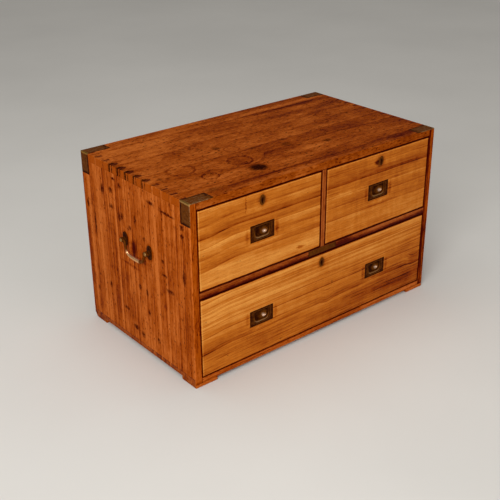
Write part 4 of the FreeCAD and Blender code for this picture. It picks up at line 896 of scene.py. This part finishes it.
class CHEST_OT_escutcheons(bpy.types.Operator):
    """Oval keyhole plates.

    Rings run from the keyhole, whose radius at each angle is the larger of its circle and its slot, out to an ellipse,
    round its edge and back behind.
    """
    bl_idname = "chest.escutcheons"
    bl_label = "Escutcheons"

    def execute(self, context):
        material = aged_brass("aged_brass_escutcheons")
        round_hole, slot_half, slot_length = 2.6 * MM, 1.3 * MM, 8.5 * MM
        angle = np.unique(np.concatenate([np.linspace(-math.pi, math.pi, 80, endpoint=False),
                                          np.linspace(-0.62, 0.62, 41)]))
        sine, cosine = np.sin(angle), np.cos(angle)
        to_side = slot_half / np.maximum(np.abs(sine), 1e-6)
        to_end = slot_length / np.maximum(cosine, 1e-6)
        hole = np.maximum(round_hole, np.where(cosine > 0, np.minimum(to_side, to_end), 0))
        share, depth, wear = np.array([
            (0, 1, -0.3), (0, 0.5, -0.3), (0, 0.18, -0.3), (0.03, 0, -0.2), (0.14, -0.06, 0), (0.5, -0.22, 0.24),
            (0.84, -0.2, 0.24), (0.94, -0.05, 0.4), (0.985, 0.12, 0.2), (1, 0.35, 0), (1, 1, 0)]).T[..., None]
        for name in DRAWERS:
            node = name + "_escutcheon"
            width, thickness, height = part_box(node)[1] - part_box(node)[0]
            oval = width * height / 2 / np.hypot(height * sine, width * cosine)
            radius = hole + share * (oval - hole)
            rings = np.stack([radius * sine, depth * thickness + 0 * radius, -radius * cosine], -1)
            shell = closed_shell(rings + face_middle(node), wear, wrap_rows=True)
            make_piece(name + "_key_plate", [shell], material, name, node, 30)
        return {"FINISHED"}


class CHEST_OT_screws(bpy.types.Operator):
    """Slotted brass screws with low domed heads, each slot turned its own way."""
    bl_idname = "chest.screws"
    bl_label = "Screws"

    def execute(self, context):
        material = aged_brass("brass_screw_heads", mottle=0.6)
        chance = np.random.default_rng(1871)

        def group(name, body, node, places, radius, length_in):
            turns = chance.uniform(0, math.pi, len(places))
            shells = [screw_shell(at, inwards, radius * MM, length_in * MM, turn)
                      for (at, inwards), turn in zip(places, turns)]
            make_piece(name, shells, material, body, node, 30)

        # Three screws in each arm of a corner strap: one near the corner and a pair near the end of the arm
        places = []
        near_end, middle, across_pair, from_corner, down = 8 * MM, 20 * MM, 12 * MM, 11 * MM, 30 * MM
        for side, across in (("left", -1), ("right", 1)):
            for end, along in (("front", -1), ("rear", 1)):
                low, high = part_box(end + "_" + side + "_corner_strap")
                edge_x, edge_y = SIDE_X * across, (REAR_Y - middle) * along
                far_x = (low.x if across > 0 else high.x) + across * near_end
                rows = (0, across_pair, -across_pair)
                places += [((x, edge_y + along * shift, high.z), (0, 0, -1))
                           for shift, x in zip(rows, (edge_x - across * from_corner, far_x, far_x))]
                places += [((edge_x, edge_y + along * shift, z), (-across, 0, 0))
                           for shift, z in zip(rows, (high.z - down, low.z + near_end, low.z + near_end))]
        group("strap_screw_heads", "carcass", "corner_strap_screws", places, 3.6, 14)

        low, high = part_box("rail_strap")
        inset = 9 * MM
        places = [((x, low.y, (low.z + high.z) / 2), (0, 1, 0)) for x in np.linspace(low.x + inset, high.x - inset, 4)]
        group("rail_screw_heads", "carcass", "rail_strap_screws", places, 3, 12)

        brass = context.scene.chest_brass
        from_pivot = 13.2 * MM
        places = [((across * (SIDE_X + brass.rose_thickness),
                    FRONT_Y + brass.pivot_from_front + along * brass.post_spacing / 2,
                    brass.pivot_height + up * from_pivot), (-across, 0, 0))
                  for across in (-1, 1) for along in (-1, 1) for up in (-1, 1)]
        group("rose_screw_heads", "carcass", "handle_post_screws", places, 3.2, 15)

        from_edge = 4.7 * MM
        for drawer in DRAWERS:
            places = []
            for label in (key for key, value in HANDLES.items() if value == drawer):
                low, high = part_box(label + "_handle_plate")
                inset = (high.x - low.x - brass.recess_width - 2 * brass.cup_wall) / 4
                places += [((x, low.y, z), (0, 1, 0)) for x in (low.x + inset, high.x - inset)
                           for z in (low.z + from_edge, high.z - from_edge)]
            group(drawer + "_screw_heads", drawer, drawer + "_screws", places, 2.6, 10)
        return {"FINISHED"}


class CHEST_OT_handle_posts(bpy.types.Operator):
    """Oval roses with a flared stem and a ball, which carry the bails of the two sides.

    The rings are rounded rectangles that turn from a long oval into circles, and the ball's radii are those of a
    sphere cut by planes: the root of radius^2 - distance^2.
    """
    bl_idname = "chest.handle_posts"
    bl_label = "Handle posts"

    def execute(self, context):
        brass = context.scene.chest_brass
        material = aged_brass("aged_brass_posts")
        wide, high, thick = brass.rose_width, brass.rose_height, brass.rose_thickness
        stem, ball = brass.stem_radius, brass.ball_radius
        # Width, height, distance from the side of the chest, and wear
        rose = [(wide * s, high - wide * (1 - s), out * thick, wear) for s, out, wear in (
            (1, 0, 0), (1, 0.6, 0), (0.965, 0.9, 0.2), (0.92, 1, 0.1), (0.85, 1, 0.05))]
        neck = [(2 * r * stem, 2 * r * stem, out * thick, wear) for r, out, wear in (
            (1.55, 1.02, 0), (1.32, 1.25, 0.15), (1.1, 1.7, 0.2))]
        cuts = [-math.sqrt(ball ** 2 - stem ** 2), *(np.sin(np.radians(np.linspace(-40, 88, 16))) * ball)]
        # The outer cap of each ball is brightest: wear and a painted highlight together.
        bulb = [(2 * math.sqrt(ball ** 2 - cut ** 2),) * 2 + (brass.stand_off + cut, 0.15 + 0.7 * (cut > 0.66 * ball))
                for cut in cuts]
        width, height, out, wear = np.array([(wide * 0.06, high * 0.06, 0, 0.2)] + rose + neck + bulb).T
        y, z = np.moveaxis(rounded_outlines(width, height, width / 2, width / 2, arc=10, side=3), -1, 0)
        shells = []
        for across in (-1, 1):
            for along in (-1, 1):
                centre = [across * SIDE_X, FRONT_Y + brass.pivot_from_front + along * brass.post_spacing / 2,
                          brass.pivot_height]
                rings = np.stack([across * out[:, None] + 0 * y, y, z], -1) + centre
                shells.append(closed_shell(rings, wear[:, None]))
        make_piece("side_handle_posts", shells, material, "carcass", "handle_posts", 40)
        return {"FINISHED"}


class CHEST_OT_side_bails(bpy.types.Operator):
    """Carrying bails of the two sides.

    A round bar follows straight pins, a quarter circle and half an ellipse down to the grip. Its radius swells as a
    cosine to the power 0.6 to the middle of the grip, with a bead on each side, and ends in a rivet head beyond each
    post.
    """
    bl_idname = "chest.side_bails"
    bl_label = "Side bails"

    def execute(self, context):
        brass = context.scene.chest_brass
        material = aged_brass("aged_brass_carrying_bails", bare="grip", worn=0.05)
        spacing, elbow, grip_half = brass.post_spacing / 2, 5.5 * MM, 42 * MM
        bead_place, bead_width, bead_height = 38 * MM, 1.5 * MM, 0.9 * MM
        rivet_radius, rivet_length = 3.6 * MM, 1.5 * MM
        arm, end = spacing - brass.grip_inset, spacing + brass.ball_radius + rivet_length
        turn = np.linspace(0, math.pi / 2, 9)
        sweep = np.linspace(0, math.pi / 2, 44)[1:]
        across = np.concatenate([
            [end, end - 0.4 * MM, end - 1.2 * MM, end - 1.4 * MM, spacing, arm + 2 * elbow],
            arm + elbow - elbow * np.sin(turn), arm * np.cos(sweep) ** 0.52])
        down = np.concatenate([
            np.zeros(6), elbow - elbow * np.cos(turn), elbow + (brass.grip_drop - elbow) * np.sin(sweep) ** 0.7])
        across, down = np.concatenate([across, -across[-2::-1]]), np.concatenate([down, down[-2::-1]])
        reach, low = np.abs(across), down > elbow
        swell = np.cos(np.minimum(reach / grip_half, 1) * math.pi / 2) ** 0.6 * (low & (reach < grip_half))
        beads = np.exp(-((reach - bead_place) / bead_width) ** 2) * low
        radius = brass.pin_radius + (brass.swell_radius - brass.pin_radius) * swell + bead_height * beads
        radius = np.where(reach > spacing + brass.ball_radius + 0.05 * MM, rivet_radius, radius)
        radius[[0, -1]] = rivet_radius - MM
        # The middle of the grip, a little towards the rear, is brightest: wear from hands and a painted highlight
        # together
        rubbed_and_highlight = np.clip((36 * MM - np.abs(across - 8 * MM)) / (8 * MM), 0, 1) * low
        for name, side in (("left_side_bail", -1), ("right_side_bail", 1)):
            x = side * (SIDE_X + brass.stand_off)
            line = np.stack([np.full(len(across), x), FRONT_Y + brass.pivot_from_front + across,
                             brass.pivot_height - down], -1)
            rings = swept_rings(line, (1, 0, 0), radius, radius, 24)
            outer = np.clip((rings[..., 0] - x) * side / (4 * MM), -1, 1)
            wear = (0.28 + 0.82 * rubbed_and_highlight + 0.1 * beads)[:, None] + 0.12 * outer
            make_piece(name + "_ring", [closed_shell(rings, wear)], material, name, name, 40)
        return {"FINISHED"}


class CHEST_OT_stage(bpy.types.Operator):
    """Pale floor, three soft lamps, a dim room and the camera."""
    bl_idname = "chest.stage"
    bl_label = "Stage"

    def execute(self, context):
        scene, stage = context.scene, context.scene.chest_stage
        side = np.linspace(-30, 30, 25)
        points = np.stack([*np.meshgrid(side, side), np.zeros((25, 25))], -1)
        cell = np.arange(25 * 25).reshape(25, 25)
        quads = np.stack([cell[:-1, :-1], cell[:-1, 1:], cell[1:, 1:], cell[1:, :-1]], -1)
        mesh = bpy.data.meshes.new("floor")
        mesh.from_pydata(points.reshape(-1, 3).tolist(), [], quads.reshape(-1, 4).tolist())
        # Painted plaster floor: matt, with hardly any texture
        material, add = new_material("plaster_floor")
        place = add("TexCoord", output="Object")
        cloud = add("TexNoise", {"Vector": place, "Scale": 1.2, "Detail": 5})
        shade = add("ValToRGB", [cloud], stops=[
            (0.3, (*(0.94 * value for value in stage.floor), 1)), (0.7, (*stage.floor, 1))])
        add("OutputMaterial", [add("BsdfPrincipled", {
            "Base Color": shade, "Roughness": 0.85, "Specular IOR Level": 0.15})], None)
        mesh.materials.append(material)
        new_object("floor", mesh)

        for name, power, size, place, aim in (
                ("key_lamp", stage.key_power, 2.2, (-3, -2.2, 2.35), (0, 0, 0.25)),
                ("fill_lamp", stage.fill_power, 1.3, (0.1, -3.5, 0.75), (0, 0, 0.25)),
                ("top_lamp", stage.top_power, 2.2, (-0.4, 0.5, 3.2), (0, 0, 0.4))):
            lamp = bpy.data.lights.new(name, "AREA")
            lamp.energy, lamp.shape, lamp.size = power, "DISK", size
            holder = new_object(name, lamp)
            holder.location = place
            holder.rotation_euler = (Vector(aim) - Vector(place)).to_track_quat("-Z", "Y").to_euler()

        scene.world = bpy.data.worlds.new("dim_room")
        scene.world.use_nodes = True
        scene.world.node_tree.nodes.clear()
        add = partial(add_node, scene.world.node_tree)
        # The room is dimmer behind the chest, so that the top of the chest mirrors little light
        towards = add("TexCoord", output="Generated")
        near = add("VectorMath", [towards, (-0.3, -0.9, 0.2)], "Value", operation="DOT_PRODUCT")
        level = add("MapRange", [near, -0.8, 0.5, 0.5 * stage.surround, 1.25 * stage.surround], **EASED)
        # Low down it has the tone of the far floor, so that no edge shows between them
        height = add("SeparateXYZ", [towards], "Z")
        foot = add("MapRange", [height, 0, 0.2, 1, 0], **EASED)
        level = add("Mix", {0: foot, 2: level, 3: 0.65 * stage.surround})
        add("OutputWorld", [add("Background", {"Color": (1, 0.985, 0.96, 1), "Strength": level})], None)

        camera = bpy.data.cameras.new("camera")
        camera.lens = stage.lens
        camera.sensor_width = 36
        scene.camera = new_object("camera", camera)
        scene.camera.matrix_world = Matrix((
            (0.770843, 0.282545, -0.570937, -1.62022),
            (-0.636983, 0.331585, -0.695920, -1.91125),
            (-0.007315, 0.900122, 0.435577, 1.39054),
            (0, 0, 0, 1)))
        scene.view_settings.view_transform = "Standard"
        return {"FINISHED"}


class CHEST_PT_panel(bpy.types.Panel):
    """Lists the steps that dress the chest."""
    bl_idname = "CHEST_PT_panel"
    bl_label = "Campaign chest"
    bl_space_type = "VIEW_3D"
    bl_region_type = "UI"
    bl_category = "Chest"

    def draw(self, context):
        for step in STEPS:
            self.layout.operator(step.bl_idname)
        for settings in (context.scene.chest_wood, context.scene.chest_brass, context.scene.chest_stage):
            box = self.layout.box()
            for name in settings.__annotations__:
                box.prop(settings, name)


STEPS = (CHEST_OT_top_and_sides, CHEST_OT_drawer_fronts, CHEST_OT_inner_boards, CHEST_OT_straps_and_locks,
         CHEST_OT_handle_plates, CHEST_OT_flush_bails, CHEST_OT_escutcheons, CHEST_OT_screws, CHEST_OT_handle_posts,
         CHEST_OT_side_bails, CHEST_OT_stage)
CLASSES = (ChestWoodSettings, ChestBrassSettings, ChestStageSettings) + STEPS + (CHEST_PT_panel,)


def register():
    """Registers the classes and hangs the settings on the scene."""
    for each in CLASSES:
        bpy.utils.register_class(each)
    bpy.types.Scene.chest_wood = PointerProperty(type=ChestWoodSettings)
    bpy.types.Scene.chest_brass = PointerProperty(type=ChestBrassSettings)
    bpy.types.Scene.chest_stage = PointerProperty(type=ChestStageSettings)


def unregister():
    """Takes the settings and classes away again."""
    del bpy.types.Scene.chest_wood, bpy.types.Scene.chest_brass, bpy.types.Scene.chest_stage
    for each in reversed(CLASSES):
        bpy.utils.unregister_class(each)


def main():
    """Dresses the whole chest."""
    register()
    for step in STEPS:
        group, action = step.bl_idname.split(".")
        getattr(getattr(bpy.ops, group), action)()


if __name__ == "__main__":
    main()
